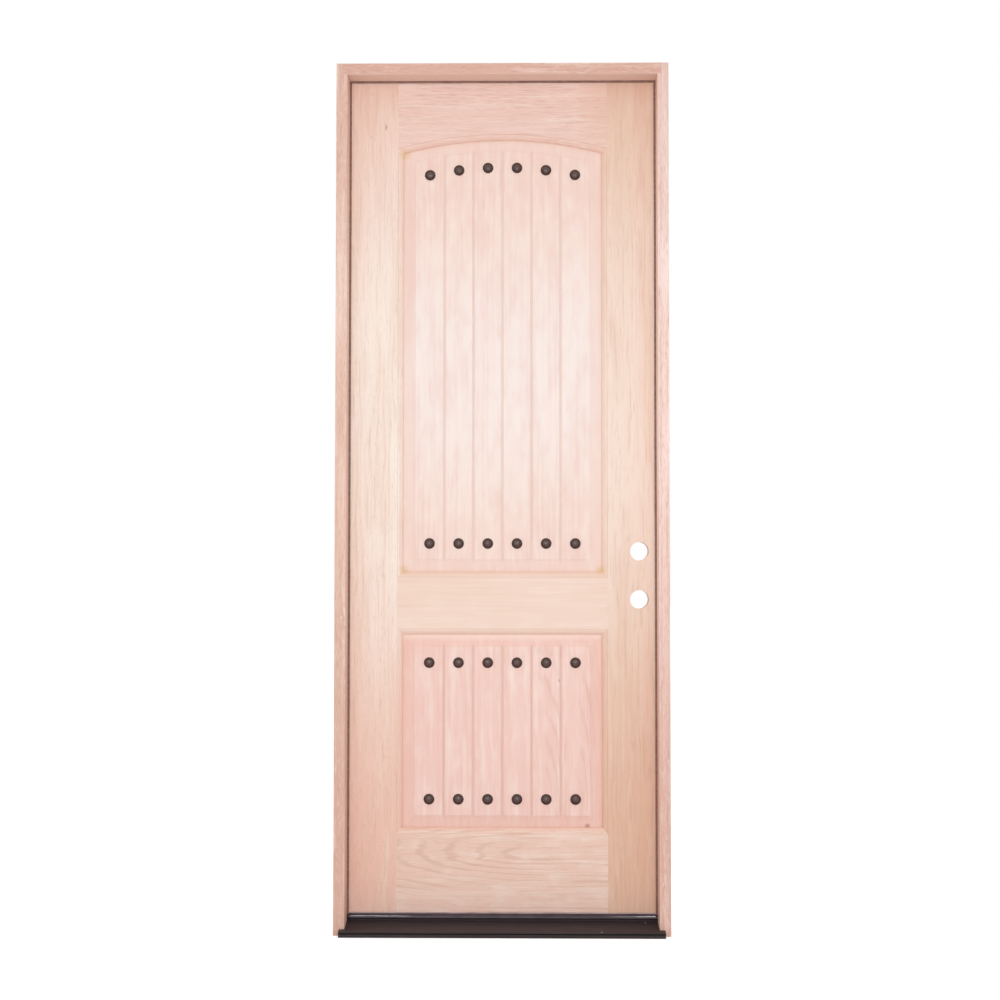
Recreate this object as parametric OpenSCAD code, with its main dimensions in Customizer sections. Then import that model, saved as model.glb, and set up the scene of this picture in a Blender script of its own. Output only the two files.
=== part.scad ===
// Exterior door unit: an arched-panel stile-and-rail slab hung in a rabbeted frame on a metal sill.
// Millimetres. X runs to the lock side, Y runs inward through the doorway, Z runs up.
// The origin is on the floor under the middle of the frame.

/* [Door slab] */
// Width of the slab
slab_w = 914; // [860:1:1000]
// Height of the slab
slab_h = 2424; // [2300:1:2500]
// Thickness of the slab
slab_t = 44.5; // [42:0.5:50]
// Face width of each stile, up to its moulding
stile_w = 152; // [135:1:165]
// Face height of the top rail at the crown of the arch
top_rail_h = 166; // [145:1:200]
// Face height of the lock rail
lock_rail_h = 149; // [125:1:180]
// Face height of the bottom rail
bottom_rail_h = 224; // [200:1:260]
// Height of the lower panel opening between the faces of its rails
lower_open_h = 589; // [520:1:650]
// Rise of the arch across the visible width of the upper panel
arch_rise = 38; // [20:1:60]

/* [Moulding] */
// Width of the moulded inner edge of the stiles and rails
moulding_w = 16; // [13:1:20]
// Depth of the moulding below the face
moulding_d = 10; // [7:0.5:12]
// Step from the face down to the round of the moulding
quirk = 1.2; // [0.5:0.1:2.5]
// Depth of the groove that holds the panels
groove_d = 12; // [10:0.5:14]

/* [Panels] */
// Thickness of the panel edge that sits in the groove
panel_edge_t = 16; // [12:0.5:20]
// Depth of the raised field below the face of the stiles
field_drop = 5; // [3:0.5:7]
// Width of the sloped border around the raised field
border_w = 35; // [25:1:45]
// Height of the step at the edge of the raised field
shoulder = 1.6; // [0.8:0.1:2.5]
// Width of the V-groove between planks
vee_w = 9; // [5:0.5:11]
// Length of the tongue on each plank
tongue_l = 8; // [5:0.5:11]
// Thickness of the tongue on each plank
tongue_t = 6; // [4:0.5:9]

/* [Nail heads] */
// Diameter of each domed head
clavo_d = 30; // [20:1:40]
// Height of each domed head
clavo_h = 8.5; // [5:0.5:12]
// Height of the straight rim under the dome
clavo_rim = 1.2; // [0.5:0.1:2]
// Distance from the edge of the raised field to the nail heads
clavo_inset = 47; // [35:1:60]
// Diameter of the shank
nail_d = 5; // [3:0.5:7]
// Length of the shank
nail_l = 20; // [12:1:26]

/* [Lock preparation] */
// Diameter of the two lock holes through the slab
lock_bore_d = 54; // [50:0.5:58]
// Distance from the edge of the slab to the lock holes
backset = 60; // [54:0.5:72]
// Height of the lower lock hole above the bottom of the slab
lock_bore_h = 898; // [860:1:960]
// Distance between the two lock holes
lock_bore_pitch = 139.7; // [120:0.1:160]
// Diameter of the latch holes in the edge of the slab and in the jamb
latch_bore_d = 25.4; // [22:0.1:28]
// Height of the shallow seats for the latch and strike plates
plate_seat_h = 57; // [45:1:70]
// Width of those seats
plate_seat_w = 28.6; // [28:0.1:34]
// Depth of those seats
plate_seat_d = 2.5; // [1.5:0.1:4]

/* [Frame] */
// Thickness of the jambs at the stop
jamb_t = 32; // [29:0.5:38]
// Depth of the jambs through the wall
jamb_depth = 116; // [105:1:170]
// Height of the stop that is left by the rabbet
stop_h = 13; // [11:0.5:16]
// Gap between the slab and the jambs
door_gap = 3; // [2.5:0.1:5]
// Height of the bottom of the slab above the floor
slab_lift = 52; // [50.5:0.5:60]

/* [Seals] */
// Space between the stop and the closed slab
seal_gap = 6; // [4:0.5:9]
// Distance that the seals show past the stop
seal_reach = 6; // [3:0.5:9]
// Width of the saw kerf that holds a seal
kerf_w = 3; // [2.4:0.1:4]
// Depth of that kerf
kerf_d = 10; // [7:0.5:14]

/* [Sill] */
// Distance that the nose stands out in front of the jambs
nose_out = 24; // [18:1:34]
// Length of the ears that lap the front of each jamb
ear_l = 15; // [8:1:22]
// Height of the nose
nose_h = 9; // [7:0.5:10]
// Height of the front edge of the deck
deck_front_h = 16; // [14.5:0.5:19]
// Height of the deck at its back edge
deck_back_h = 27; // [22:0.5:31]
// Wall of the metal deck
deck_t = 2; // [1.5:0.1:3]
// Height of the underside of the cap
cap_seat_h = 34; // [32:0.5:36]
// Thickness of the cap
cap_t = 13; // [8:0.5:14]
// Distance that the cap shows in front of the closed slab
cap_out = 4; // [2:0.5:5.5]

/* [Hinges] */
// Height of each hinge
hinge_h = 101.6; // [89:0.1:115]
// Thickness of the hinge leaves
leaf_t = 3; // [2.2:0.1:3.6]
// Depth of the leaves in the edge of the slab
leaf_d = 38; // [33:1:40]
// Corner radius of the leaves
leaf_r = 16; // [8:0.5:18]
// Diameter of the barrel
barrel_d = 14; // [12:0.5:16]
// Diameter of the pin
pin_d = 7.9; // [6:0.1:9]
// Distance of the pin behind the inner face of the slab
pin_out = 12.7; // [11:0.1:16]
// Distance from the top of the slab to the top hinge
hinge_top = 178; // [140:1:230]
// Distance from the bottom of the slab to the bottom hinge
hinge_bottom = 270; // [200:1:320]

/* [Fasteners] */
// Diameter of the rail dowels
dowel_d = 16; // [10:1:19]
// Length of the rail dowels
dowel_l = 110; // [80:2:120]
// Diameter of the shank of the hinge screws
screw_d = 4.6; // [3.5:0.1:5.4]
// Diameter of the head of the hinge screws
screw_head_d = 9; // [7:0.1:10]
// Length of the screws in the jamb
jamb_screw_l = 17; // [12:0.5:18]
// Length of the screws in the slab
slab_screw_l = 32; // [20:1:45]
// Length of the screws that join the frame's corners
corner_screw_l = 60; // [45:1:75]
// Distance between the corner screws along the depth of a jamb
corner_screw_pitch = 37; // [30:1:42]
// Height of the screws that hold the sill
sill_screw_h = 7; // [5.5:0.5:8]

/* [Hidden] */
$fn = 48;
// Facets of the wide revolves that follow the arch
arch_fn = 256;
// Straight steps in the round of the moulding
round_steps = 6;
// Overlap that lets a cut pass clear of a face
cut = 1;
// Planks in each panel
plank_count = 6;
// Hinges on the slab
hinge_count = 4;
// Knuckles in each barrel, counted from the bottom
jamb_knuckles = [0, 2, 4];
door_knuckles = [1, 3];
knuckle_count = len(jamb_knuckles) + len(door_knuckles);

// Clearances
seat_clear = 0.2;
soft_clear = 0.3;
pin_clear = 0.05;
knuckle_clear = 0.3;
barrel_clear = 0.4;
hole_clear = 0.1;
joint_clear = 0.15;
panel_float = 2;
blind_clear = 1;

// Levels of the frame and the slab
wall_t = jamb_t - stop_h;
y_out = -jamb_depth / 2;
y_in = jamb_depth / 2;
slab_y = y_in - slab_t;
slab_mid_y = y_in - slab_t / 2;
stop_y = slab_y - seal_gap;
slab_x = slab_w / 2;
pocket_x = slab_x + door_gap;
stop_x = pocket_x - stop_h;
frame_x = pocket_x + wall_t;
slab_z = slab_lift;
slab_top = slab_z + slab_h;
pocket_top = slab_top + door_gap;
frame_top = pocket_top + wall_t;
cap_top = cap_seat_h + cap_t;

// Openings of the slab: face edges and visible panel edges
open_x = slab_x - stile_w;
panel_x = open_x - moulding_w;
lower_z0 = slab_z + bottom_rail_h;
lower_z1 = lower_z0 + lower_open_h;
upper_z0 = lower_z1 + lock_rail_h;
crown_z = slab_top - top_rail_h - moulding_w;
arch_r = (panel_x * panel_x + arch_rise * arch_rise) / (2 * arch_rise);
arch_z = crown_z - arch_r;

// Moulded edge, from the outer face to the inner face, as [distance towards the panel, depth]
round_h = moulding_d - quirk;
round_r = (moulding_w * moulding_w + round_h * round_h) / (2 * round_h);
round_end = asin(moulding_w / round_r);
round_points = [
    for (i = [0:round_steps])
        let (a = round_end * i / round_steps) [round_r * sin(a), quirk + round_r * (1 - cos(a))]
];
panel_edge_v = (slab_t - panel_edge_t) / 2;
groove_v = panel_edge_v - seat_clear;
groove_u = moulding_w - groove_d;
edge_half = concat([[0, 0]], round_points, [[moulding_w, groove_v], [groove_u, groove_v]]);
moulded_edge = concat(edge_half, [for (p = turned(edge_half)) [p[0], slab_t - p[1]]]);

// Raised edge of a panel, as [distance inside the visible edge, depth]
border_lip = 1.5;
raised_half = [
    [panel_float - groove_d, panel_edge_v],
    [border_lip, panel_edge_v],
    [border_w, field_drop + shoulder],
    [border_w, field_drop]
];
raised_back = [for (p = raised_half) [p[0], slab_t - p[1]]];

// Planks
field_x = panel_x - border_w;
plank_w = 2 * field_x / plank_count;
tongue_v = (slab_t - tongue_t) / 2;
plank_mid = [for (i = [0:plank_count - 1]) (i + 0.5) * plank_w - field_x];

// Nail heads
clavo_arc_r = arch_r - border_w - clavo_inset;
clavo_set = moulding_w + border_w + clavo_inset;
clavo_row_z = [upper_z0 + clavo_set, lower_z1 - clavo_set, lower_z0 + clavo_set];
dome_h = clavo_h - clavo_rim;
dome_r = (clavo_d * clavo_d / 4 + dome_h * dome_h) / (2 * dome_h);

// Lock preparation
lock_bore_x = slab_x - backset;
lock_bore_z = [slab_z + lock_bore_h, slab_z + lock_bore_h + lock_bore_pitch];

// Hinges: each entry is the height of a hinge's lower end
pin_x = -slab_x - door_gap / 2;
pin_y = y_in + pin_out;
hinge_low = slab_z + hinge_bottom;
hinge_high = slab_top - hinge_top - hinge_h;
hinge_z = [for (i = [0:hinge_count - 1]) hinge_high + (hinge_low - hinge_high) * i / (hinge_count - 1)];
knuckle_h = hinge_h / knuckle_count;
leaf_x = door_gap / 2;
pin_button_d = barrel_d - 2 * pin_clear;
pin_button_h = 2.5;
// Screw places on a leaf, as shares of [its depth from the inner face, its height]
leaf_holes = [[0.34, 0.14], [0.68, 0.38], [0.34, 0.62], [0.68, 0.86]];

// Heights of the dowels in each stile
dowel_edge = 42;
dowel_z = [
    slab_z + dowel_edge,
    slab_z + bottom_rail_h / 2,
    lower_z0 - dowel_edge,
    lower_z1 + dowel_edge,
    upper_z0 - dowel_edge,
    slab_top - top_rail_h + dowel_edge / 2,
    slab_top - dowel_edge
];

// Corner screws
corner_screw_y = [for (s = [-1, 0, 1]) s * corner_screw_pitch];
head_screw_z = frame_top - wall_t / 2;

// Sill section, as [y, z], front to back
nose_y = y_out - nose_out;
nose_lip = 3;
bead_top = 1;
bead_drop = 4;
upstand_y = slab_y + deck_t;
cap_y = slab_y - cap_out;
cap_r = cap_t / 2;
deck_outer = [
    [nose_y, 0],
    [nose_y, nose_h],
    [nose_y + nose_lip, nose_h],
    [nose_y + nose_lip, deck_front_h - bead_drop],
    [nose_y + bead_top, deck_front_h - bead_drop + bead_top],
    [nose_y + bead_top, deck_front_h - bead_top],
    [nose_y + 2 * bead_top, deck_front_h],
    [upstand_y, deck_back_h],
    [upstand_y, cap_seat_h]
];
deck_inner = [
    [upstand_y + deck_t, cap_seat_h],
    [upstand_y + deck_t, deck_back_h - deck_t],
    [nose_y + nose_lip + deck_t, deck_front_h - deck_t],
    [nose_y + nose_lip + deck_t, nose_h - deck_t],
    [nose_y + deck_t, nose_h - deck_t],
    [nose_y + deck_t, 0]
];

// Sweep under the slab
sweep_base_t = 2;
sweep_inset = 1;
sweep_fin_t = 1.6;
sweep_fins = [0.12, 0.45, 0.78];
barb_w = 2.4;
barb_l = 8;
barb_share = [0.25, 0.75];

wood_stile = "#EBC9B3";
wood_rail = "#E8C3AF";
wood_plank = "#F3D6CB";
wood_jamb = "#E3B9A4";
bronze = "#3A302C";
zinc = "#C9C8C3";
sill_bronze = "#45383A";
cap_brown = "#3B2630";
seal_brown = "#2E2320";
core_tan = "#B69A78";
dowel_tan = "#D9BE97";

// A list in reverse order
function turned(points) = [for (i = [len(points) - 1:-1:0]) points[i]];

// Height of a circle about the centre of the arch at a distance x from the middle
function arc_height(r, x) = arch_z + sqrt(r * r - x * x);

// Carries a [y, z] profile along X, centred
module along_x(length) {
    rotate([90, 0, 90]) linear_extrude(height = length, center = true) children();
}

// Turns a [radius, depth] profile about the axis of the arch
module around_arch() {
    translate([0, slab_y, arch_z]) rotate([-90, 0, 0]) rotate_extrude($fn = arch_fn) children();
}

// A drill along X from a start, in the direction of the sign
module drill_x(x, y, z, d, length, direction) {
    translate([x, y, z]) rotate([0, direction * 90, 0]) cylinder(h = length, d = d);
}

// The same shape on both sides of the door
module both_sides() {
    children();
    mirror([1, 0, 0]) children();
}

// Stiles and rails

// Stile on the lock side before any machining
module stile_blank() {
    outline = concat([[slab_x, 0]], [for (p = moulded_edge) [open_x - p[0], p[1]]], [[slab_x, slab_t]]);
    translate([0, slab_y, slab_z]) linear_extrude(height = slab_h) polygon(outline);
}

// Straight rail before its ends are coped: moulded edges at the top, and below if asked
module rail_blank(z0, z1, moulded_below) {
    upper = [for (p = moulded_edge) [slab_y + p[1], z1 + p[0]]];
    lower = moulded_below
        ? [for (p = turned(moulded_edge)) [slab_y + p[1], z0 - p[0]]]
        : [[y_in, z0], [slab_y, z0]];
    along_x(2 * open_x) polygon(concat(upper, lower));
}

// Dowel holes or dowels at both ends of the rails
module dowel_rods(d, length) {
    both_sides()
        for (z = dowel_z)
            translate([open_x, slab_mid_y, z])
                rotate([0, 90, 0]) cylinder(h = length, d = d, center = true);
}

// Holes for the dowels
module dowel_holes() {
    dowel_rods(dowel_d + 2 * hole_clear, dowel_l + 2 * blind_clear);
}

// Two saw kerfs in the underside of the slab for the barbs of the sweep
module sweep_kerfs() {
    for (share = barb_share)
        translate([-slab_x - cut, slab_y + share * slab_t - barb_w / 2 - hole_clear, slab_z - cut])
            cube([slab_w + 2 * cut, barb_w + 2 * hole_clear, barb_l + blind_clear + cut]);
}

module hinge_stile() {
    color(wood_stile) difference() {
        mirror([1, 0, 0]) stile_blank();
        dowel_holes();
        sweep_kerfs();
        for (z = hinge_z)
            translate([-slab_x - cut, y_in, z])
                rotate([90, 0, 90]) linear_extrude(height = leaf_t + cut) leaf_outline(seat_clear, cut);
        for (z = hinge_z) leaf_screw_holes(z, slab_screw_l);
    }
}

module lock_stile() {
    color(wood_stile) difference() {
        stile_blank();
        dowel_holes();
        sweep_kerfs();
        for (z = lock_bore_z) {
            translate([lock_bore_x, slab_y - cut, z])
                rotate([-90, 0, 0]) cylinder(h = slab_t + 2 * cut, d = lock_bore_d);
            drill_x(slab_x + cut, slab_mid_y, z, latch_bore_d, backset + cut, -1);
            plate_seat(slab_x, z, -1);
        }
    }
}

// Shallow round-ended seat for a latch or strike plate, sunk from x in the direction of the sign
module plate_seat(x, z, direction) {
    run = (plate_seat_h - plate_seat_w) / 2;
    translate([x + (direction < 0 ? -plate_seat_d : -cut), slab_mid_y, z])
        rotate([90, 0, 90]) linear_extrude(height = plate_seat_d + cut) {
            square([plate_seat_w, 2 * run], center = true);
            for (s = [-1, 1]) translate([0, s * run]) circle(d = plate_seat_w);
        }
}

module lock_rail() {
    color(wood_rail) difference() {
        rail_blank(lower_z1, upper_z0, true);
        both_sides() stile_blank();
        dowel_holes();
    }
}

module bottom_rail() {
    color(wood_rail) difference() {
        rail_blank(slab_z, lower_z0, false);
        both_sides() stile_blank();
        dowel_holes();
        sweep_kerfs();
    }
}

// The rail's lower edge carries the moulding and the groove round the arch
module top_rail() {
    low_z = arc_height(arch_r, open_x) - cut;
    edge = [for (p = moulded_edge) [arch_r + moulding_w - p[0], p[1]]];
    mouth_r = arch_r + moulding_w;
    color(wood_rail) difference() {
        translate([-open_x, slab_y, low_z]) cube([2 * open_x, slab_t, slab_top - low_z]);
        around_arch() polygon(concat(
            [[0, -cut], [mouth_r, -cut]], edge, [[mouth_r, slab_t + cut], [0, slab_t + cut]]));
        both_sides() stile_blank();
        dowel_holes();
    }
}

module rail_dowels() {
    color(dowel_tan) dowel_rods(dowel_d, dowel_l);
}

// Panels

// Left edge of a plank from the outer face to the inner face
function plank_left(i) =
    i == 0
        ? [for (p = concat(turned(raised_half), raised_back)) [p[0] - panel_x, p[1]]]
        : let (x = i * plank_w - field_x, reach = tongue_l + joint_clear, v = tongue_v - joint_clear,
               half = [[x + vee_w / 2, field_drop], [x, field_drop + vee_w / 2], [x, v], [x + reach, v]])
          concat(half, [for (p = turned(half)) [p[0], slab_t - p[1]]]);

// Right edge of a plank from the inner face to the outer face
function plank_right(i) =
    i == plank_count - 1
        ? [for (p = concat(turned(raised_back), raised_half)) [panel_x - p[0], p[1]]]
        : let (x = (i + 1) * plank_w - field_x, v = tongue_v,
               half = [[x - vee_w / 2, field_drop], [x, field_drop + vee_w / 2], [x, v], [x + tongue_l, v]])
          concat([for (p = half) [p[0], slab_t - p[1]]], turned(half));

// Plank of full length with its tongue, groove and V edges
module plank_blank(i, z0, z1) {
    translate([0, slab_y, z0])
        linear_extrude(height = z1 - z0) polygon(concat(plank_left(i), plank_right(i)));
}

// Raised panel seen along X, between two visible edges at heights a and b
module raised_ends(a, b) {
    low = concat([for (p = raised_half) [p[1], a + p[0]]], [for (p = turned(raised_half)) [p[1], b - p[0]]]);
    along_x(2 * open_x)
        polygon([for (p = concat(low, [for (q = turned(low)) [slab_t - q[0], q[1]]])) [slab_y + p[0], p[1]]]);
}

// Raised panel as a disc whose rim follows the arch, with straight sides below the disc's centre
module raised_arch() {
    rim = concat(turned(raised_half), raised_back);
    around_arch() polygon(concat(
        [[0, field_drop]], [for (p = rim) [arch_r - p[0], p[1]]], [[0, slab_t - field_drop]]));
    translate([-open_x, slab_y, arch_z - slab_h]) cube([2 * open_x, slab_t, slab_h]);
}

// Hole for one nail
module nail_hole(x, z) {
    translate([x, slab_y + field_drop - cut, z])
        rotate([-90, 0, 0]) cylinder(h = nail_l + blind_clear + cut, d = nail_d + 2 * hole_clear);
}

module upper_plank(i) {
    bottom = upper_z0 + moulding_w;
    beyond = 2 * border_w + groove_d;
    color(wood_plank) difference() {
        intersection() {
            plank_blank(i, bottom - groove_d, crown_z + groove_d);
            raised_ends(bottom, crown_z + beyond);
            raised_arch();
        }
        nail_hole(plank_mid[i], arc_height(clavo_arc_r, plank_mid[i]));
        nail_hole(plank_mid[i], clavo_row_z[0]);
    }
}

module lower_plank(i) {
    bottom = lower_z0 + moulding_w;
    top = lower_z1 - moulding_w;
    color(wood_plank) difference() {
        intersection() {
            plank_blank(i, bottom - groove_d, top + groove_d);
            raised_ends(bottom, top);
        }
        nail_hole(plank_mid[i], clavo_row_z[1]);
        nail_hole(plank_mid[i], clavo_row_z[2]);
    }
}

// Domed nail with its head on the raised field
module clavo(x, z) {
    translate([x, slab_y + field_drop, z]) rotate([90, 0, 0]) {
        cylinder(h = clavo_rim, d = clavo_d);
        translate([0, 0, clavo_rim]) rotate_extrude() intersection() {
            translate([0, dome_h - dome_r]) circle(r = dome_r);
            square([clavo_d / 2, dome_h]);
        }
        translate([0, 0, -nail_l]) cylinder(h = nail_l, d = nail_d);
    }
}

// Row of nails along the arch
module upper_top_clavos() {
    color(bronze) for (x = plank_mid) clavo(x, arc_height(clavo_arc_r, x));
}

// Straight row of nails
module clavo_row(row) {
    color(bronze) for (x = plank_mid) clavo(x, clavo_row_z[row]);
}

// Frame

// Side jamb on the lock side before its holes, with the stop cut back for the head
module jamb_blank() {
    outline = [
        [pocket_x, y_in], [frame_x, y_in], [frame_x, y_out], [stop_x, y_out], [stop_x, stop_y],
        [pocket_x - kerf_w, stop_y], [pocket_x - kerf_w, stop_y - kerf_d], [pocket_x, stop_y - kerf_d]
    ];
    difference() {
        linear_extrude(height = frame_top) polygon(outline);
        translate([stop_x - cut, y_out - cut, frame_top - jamb_t])
            cube([stop_h + cut, stop_y - y_out + 2 * cut, jamb_t + cut]);
    }
}

module hinge_jamb() {
    color(wood_jamb) difference() {
        mirror([1, 0, 0]) jamb_blank();
        for (z = hinge_z)
            translate([-pocket_x - leaf_t, y_in, z])
                rotate([90, 0, 90]) linear_extrude(height = leaf_t + cut) leaf_outline(seat_clear, cut);
        for (z = hinge_z) jamb_side() leaf_screw_holes(z, jamb_screw_l);
        corner_screw_holes();
    }
}

module strike_jamb() {
    color(wood_jamb) difference() {
        jamb_blank();
        for (z = lock_bore_z) {
            drill_x(pocket_x - cut, slab_mid_y, z, latch_bore_d, wall_t + 2 * cut, 1);
            plate_seat(pocket_x, z, 1);
        }
        corner_screw_holes();
    }
}

module head_jamb() {
    outline = [
        [y_in, pocket_top], [y_in, frame_top], [y_out, frame_top], [y_out, frame_top - jamb_t],
        [stop_y, frame_top - jamb_t], [stop_y, pocket_top - kerf_w],
        [stop_y - kerf_d, pocket_top - kerf_w], [stop_y - kerf_d, pocket_top]
    ];
    color(wood_jamb) difference() {
        along_x(2 * pocket_x) polygon(outline);
        corner_screw_holes();
    }
}

// Section of a compression seal, as [distance from the pocket wall, distance from the stop]
module seal_section() {
    thick = seal_gap - soft_clear;
    width = stop_h + seal_reach;
    translate([seat_clear, 0]) square([width - seat_clear - thick / 2, thick]);
    translate([width - thick / 2, thick / 2]) circle(d = thick);
    translate([seat_clear, seat_clear - kerf_d]) square([kerf_w - 2 * seat_clear, kerf_d]);
}

// Seal of the jamb on the lock side
module side_seal() {
    low = cap_top + soft_clear;
    color(seal_brown) translate([pocket_x, stop_y, low])
        linear_extrude(height = pocket_top - stop_h - seal_reach - low)
            mirror([1, 0]) seal_section();
}

module strike_jamb_seal() {
    side_seal();
}

module hinge_jamb_seal() {
    mirror([1, 0, 0]) side_seal();
}

module head_seal() {
    color(seal_brown) translate([0, stop_y, pocket_top])
        along_x(2 * (pocket_x - seat_clear)) rotate(-90) seal_section();
}

// Sill

// Plan of the sill: ears in front, between the stops, then the full width of the pocket
module sill_plan(ear) {
    right = [
        [stop_x + ear, nose_y], [stop_x + ear, y_out], [stop_x, y_out],
        [stop_x, stop_y], [pocket_x, stop_y], [pocket_x, y_in]
    ];
    linear_extrude(height = cap_top)
        polygon(concat(right, [for (p = turned(right)) [-p[0], p[1]]]));
}

module sill_deck() {
    color(sill_bronze) intersection() {
        along_x(2 * frame_x) polygon(concat(deck_outer, deck_inner));
        sill_plan(ear_l);
    }
}

module sill_core() {
    color(core_tan) difference() {
        intersection() {
            along_x(2 * frame_x) polygon(concat(deck_inner, [[y_in, 0], [y_in, cap_seat_h]]));
            sill_plan(ear_l - deck_t);
        }
        corner_screw_holes();
    }
}

module threshold_cap() {
    color(cap_brown) along_x(2 * pocket_x) {
        translate([cap_y, cap_seat_h]) square([y_in - cap_y, cap_t - cap_r]);
        translate([cap_y + cap_r, cap_seat_h]) square([y_in - cap_y - cap_r, cap_t]);
        translate([cap_y + cap_r, cap_top - cap_r]) circle(r = cap_r);
    }
}

module door_sweep() {
    fin_low = cap_top + soft_clear;
    depth = slab_t - 2 * sweep_inset;
    color(seal_brown) along_x(slab_w - 2 * sweep_inset) {
        translate([slab_y + sweep_inset, slab_z - sweep_base_t]) square([depth, sweep_base_t]);
        for (share = sweep_fins)
            translate([slab_y + sweep_inset + share * depth, fin_low])
                square([sweep_fin_t, slab_z - fin_low]);
        for (share = barb_share)
            translate([slab_y + share * slab_t - barb_w / 2, slab_z - sweep_base_t])
                square([barb_w, barb_l + sweep_base_t]);
    }
}

// Hinges

// Outline of a leaf as [distance from the inner face, height], grown by a clearance
module leaf_outline(grow, past_face) {
    r = leaf_r + grow;
    low = -grow;
    high = hinge_h + grow;
    far = -leaf_d - grow;
    translate([far + r, low]) square([past_face - far - r, high - low]);
    translate([far, low + r]) square([r, high - low - 2 * r]);
    for (z = [low + r, high - r]) translate([far + r, z]) circle(r = r);
}

// Knuckle of a barrel, from the bottom of the hinge
module knuckle(i, d, clear) {
    translate([0, 0, i * knuckle_h + clear])
        cylinder(h = knuckle_h - 2 * clear, d = d);
}

// Leaf on the slab's side, about the pin at the hinge's lower end
module leaf_body(own, other) {
    difference() {
        union() {
            translate([leaf_x, -pin_out, 0])
                rotate([90, 0, 90]) linear_extrude(height = leaf_t) leaf_outline(0, pin_out);
            for (i = own) knuckle(i, barrel_d, knuckle_clear / 2);
        }
        for (i = other) knuckle(i, barrel_d + 2 * barrel_clear, -knuckle_clear / 2);
        translate([0, 0, -cut]) cylinder(h = hinge_h + 2 * cut, d = pin_d + 2 * pin_clear);
        at_leaf_holes() screw_hole(leaf_t + cut);
    }
}

// The children at the four screw holes of a leaf on the slab's side
module at_leaf_holes() {
    for (h = leaf_holes)
        translate([leaf_x, -pin_out - h[0] * leaf_d, h[1] * hinge_h]) children();
}

// Countersunk screw along +X with its head flush at the start, grown by a clearance
module screw_shape(length, clear) {
    cone = (screw_head_d - screw_d) / 2;
    rotate([0, 90, 0]) {
        cylinder(h = cone, d1 = screw_head_d + 2 * clear, d2 = screw_d + 2 * clear);
        cylinder(h = length, d = screw_d + 2 * clear);
    }
}

// Hole for a countersunk screw, open past the face that it starts from
module screw_hole(length) {
    screw_shape(length, hole_clear);
    rotate([0, -90, 0]) cylinder(h = cut, d = screw_head_d + 2 * hole_clear);
}

// The four screws of one leaf on the slab's side
module leaf_screws(z, length) {
    translate([pin_x, pin_y, z]) at_leaf_holes() screw_shape(length, 0);
}

// Pilot holes for those screws in the wood behind the leaf
module leaf_screw_holes(z, length) {
    translate([pin_x, pin_y, z]) at_leaf_holes() screw_hole(length + blind_clear);
}

// Mirrors a shape about the hinge pins, from the slab's side to the jamb's
module jamb_side() {
    translate([2 * pin_x, 0, 0]) mirror([1, 0, 0]) children();
}

module door_hinge_screws() {
    color(bronze) for (z = hinge_z) leaf_screws(z, slab_screw_l);
}

module jamb_hinge_screws() {
    color(bronze) for (z = hinge_z) jamb_side() leaf_screws(z, jamb_screw_l);
}

module hinge_door_leaf(i) {
    color(bronze) translate([pin_x, pin_y, hinge_z[i]]) leaf_body(door_knuckles, jamb_knuckles);
}

module hinge_jamb_leaf(i) {
    color(bronze) translate([pin_x, pin_y, hinge_z[i]])
        mirror([1, 0, 0]) leaf_body(jamb_knuckles, door_knuckles);
}

// Pin with a low button at each end
module hinge_pin(i) {
    color(bronze) translate([pin_x, pin_y, hinge_z[i]]) {
        cylinder(h = hinge_h, d = pin_d);
        for (z = [-pin_button_h, hinge_h])
            translate([0, 0, z]) cylinder(h = pin_button_h, d = pin_button_d);
    }
}

// Corner screws of the frame

// The children at the screws that go in through both side jambs at one height
module at_corner_screws(z) {
    both_sides()
        for (y = corner_screw_y)
            translate([frame_x, y, z]) mirror([1, 0, 0]) children();
}

module corner_screw_holes() {
    for (z = [head_screw_z, sill_screw_h])
        at_corner_screws(z) screw_hole(corner_screw_l + blind_clear);
}

module head_screws() {
    color(zinc) at_corner_screws(head_screw_z) screw_shape(corner_screw_l, 0);
}

module sill_screws() {
    color(zinc) at_corner_screws(sill_screw_h) screw_shape(corner_screw_l, 0);
}

hinge_jamb();
strike_jamb();
head_jamb();
sill_deck();
sill_core();
threshold_cap();
hinge_jamb_seal();
strike_jamb_seal();
head_seal();
for (i = [0:hinge_count - 1]) {
    hinge_jamb_leaf(i);
    hinge_pin(i);
    hinge_door_leaf(i);
}
jamb_hinge_screws();
head_screws();
sill_screws();
hinge_stile();
lock_stile();
top_rail();
lock_rail();
bottom_rail();
for (i = [0:plank_count - 1]) {
    upper_plank(i);
    lower_plank(i);
}
upper_top_clavos();
clavo_row(0);  // upper_bottom_clavos
clavo_row(1);  // lower_top_clavos
clavo_row(2);  // lower_bottom_clavos
rail_dowels();
door_hinge_screws();
door_sweep();
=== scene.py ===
"""Looks of an arched-panel wooden entry door with its frame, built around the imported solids.

Metres, in the solids' own frame: X runs to the lock side, Y runs inward through the doorway and Z runs up.
"""
import logging
import math
from dataclasses import dataclass
from enum import Enum

import bmesh
import bpy
import numpy as np
from mathutils import Matrix, Vector


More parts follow.
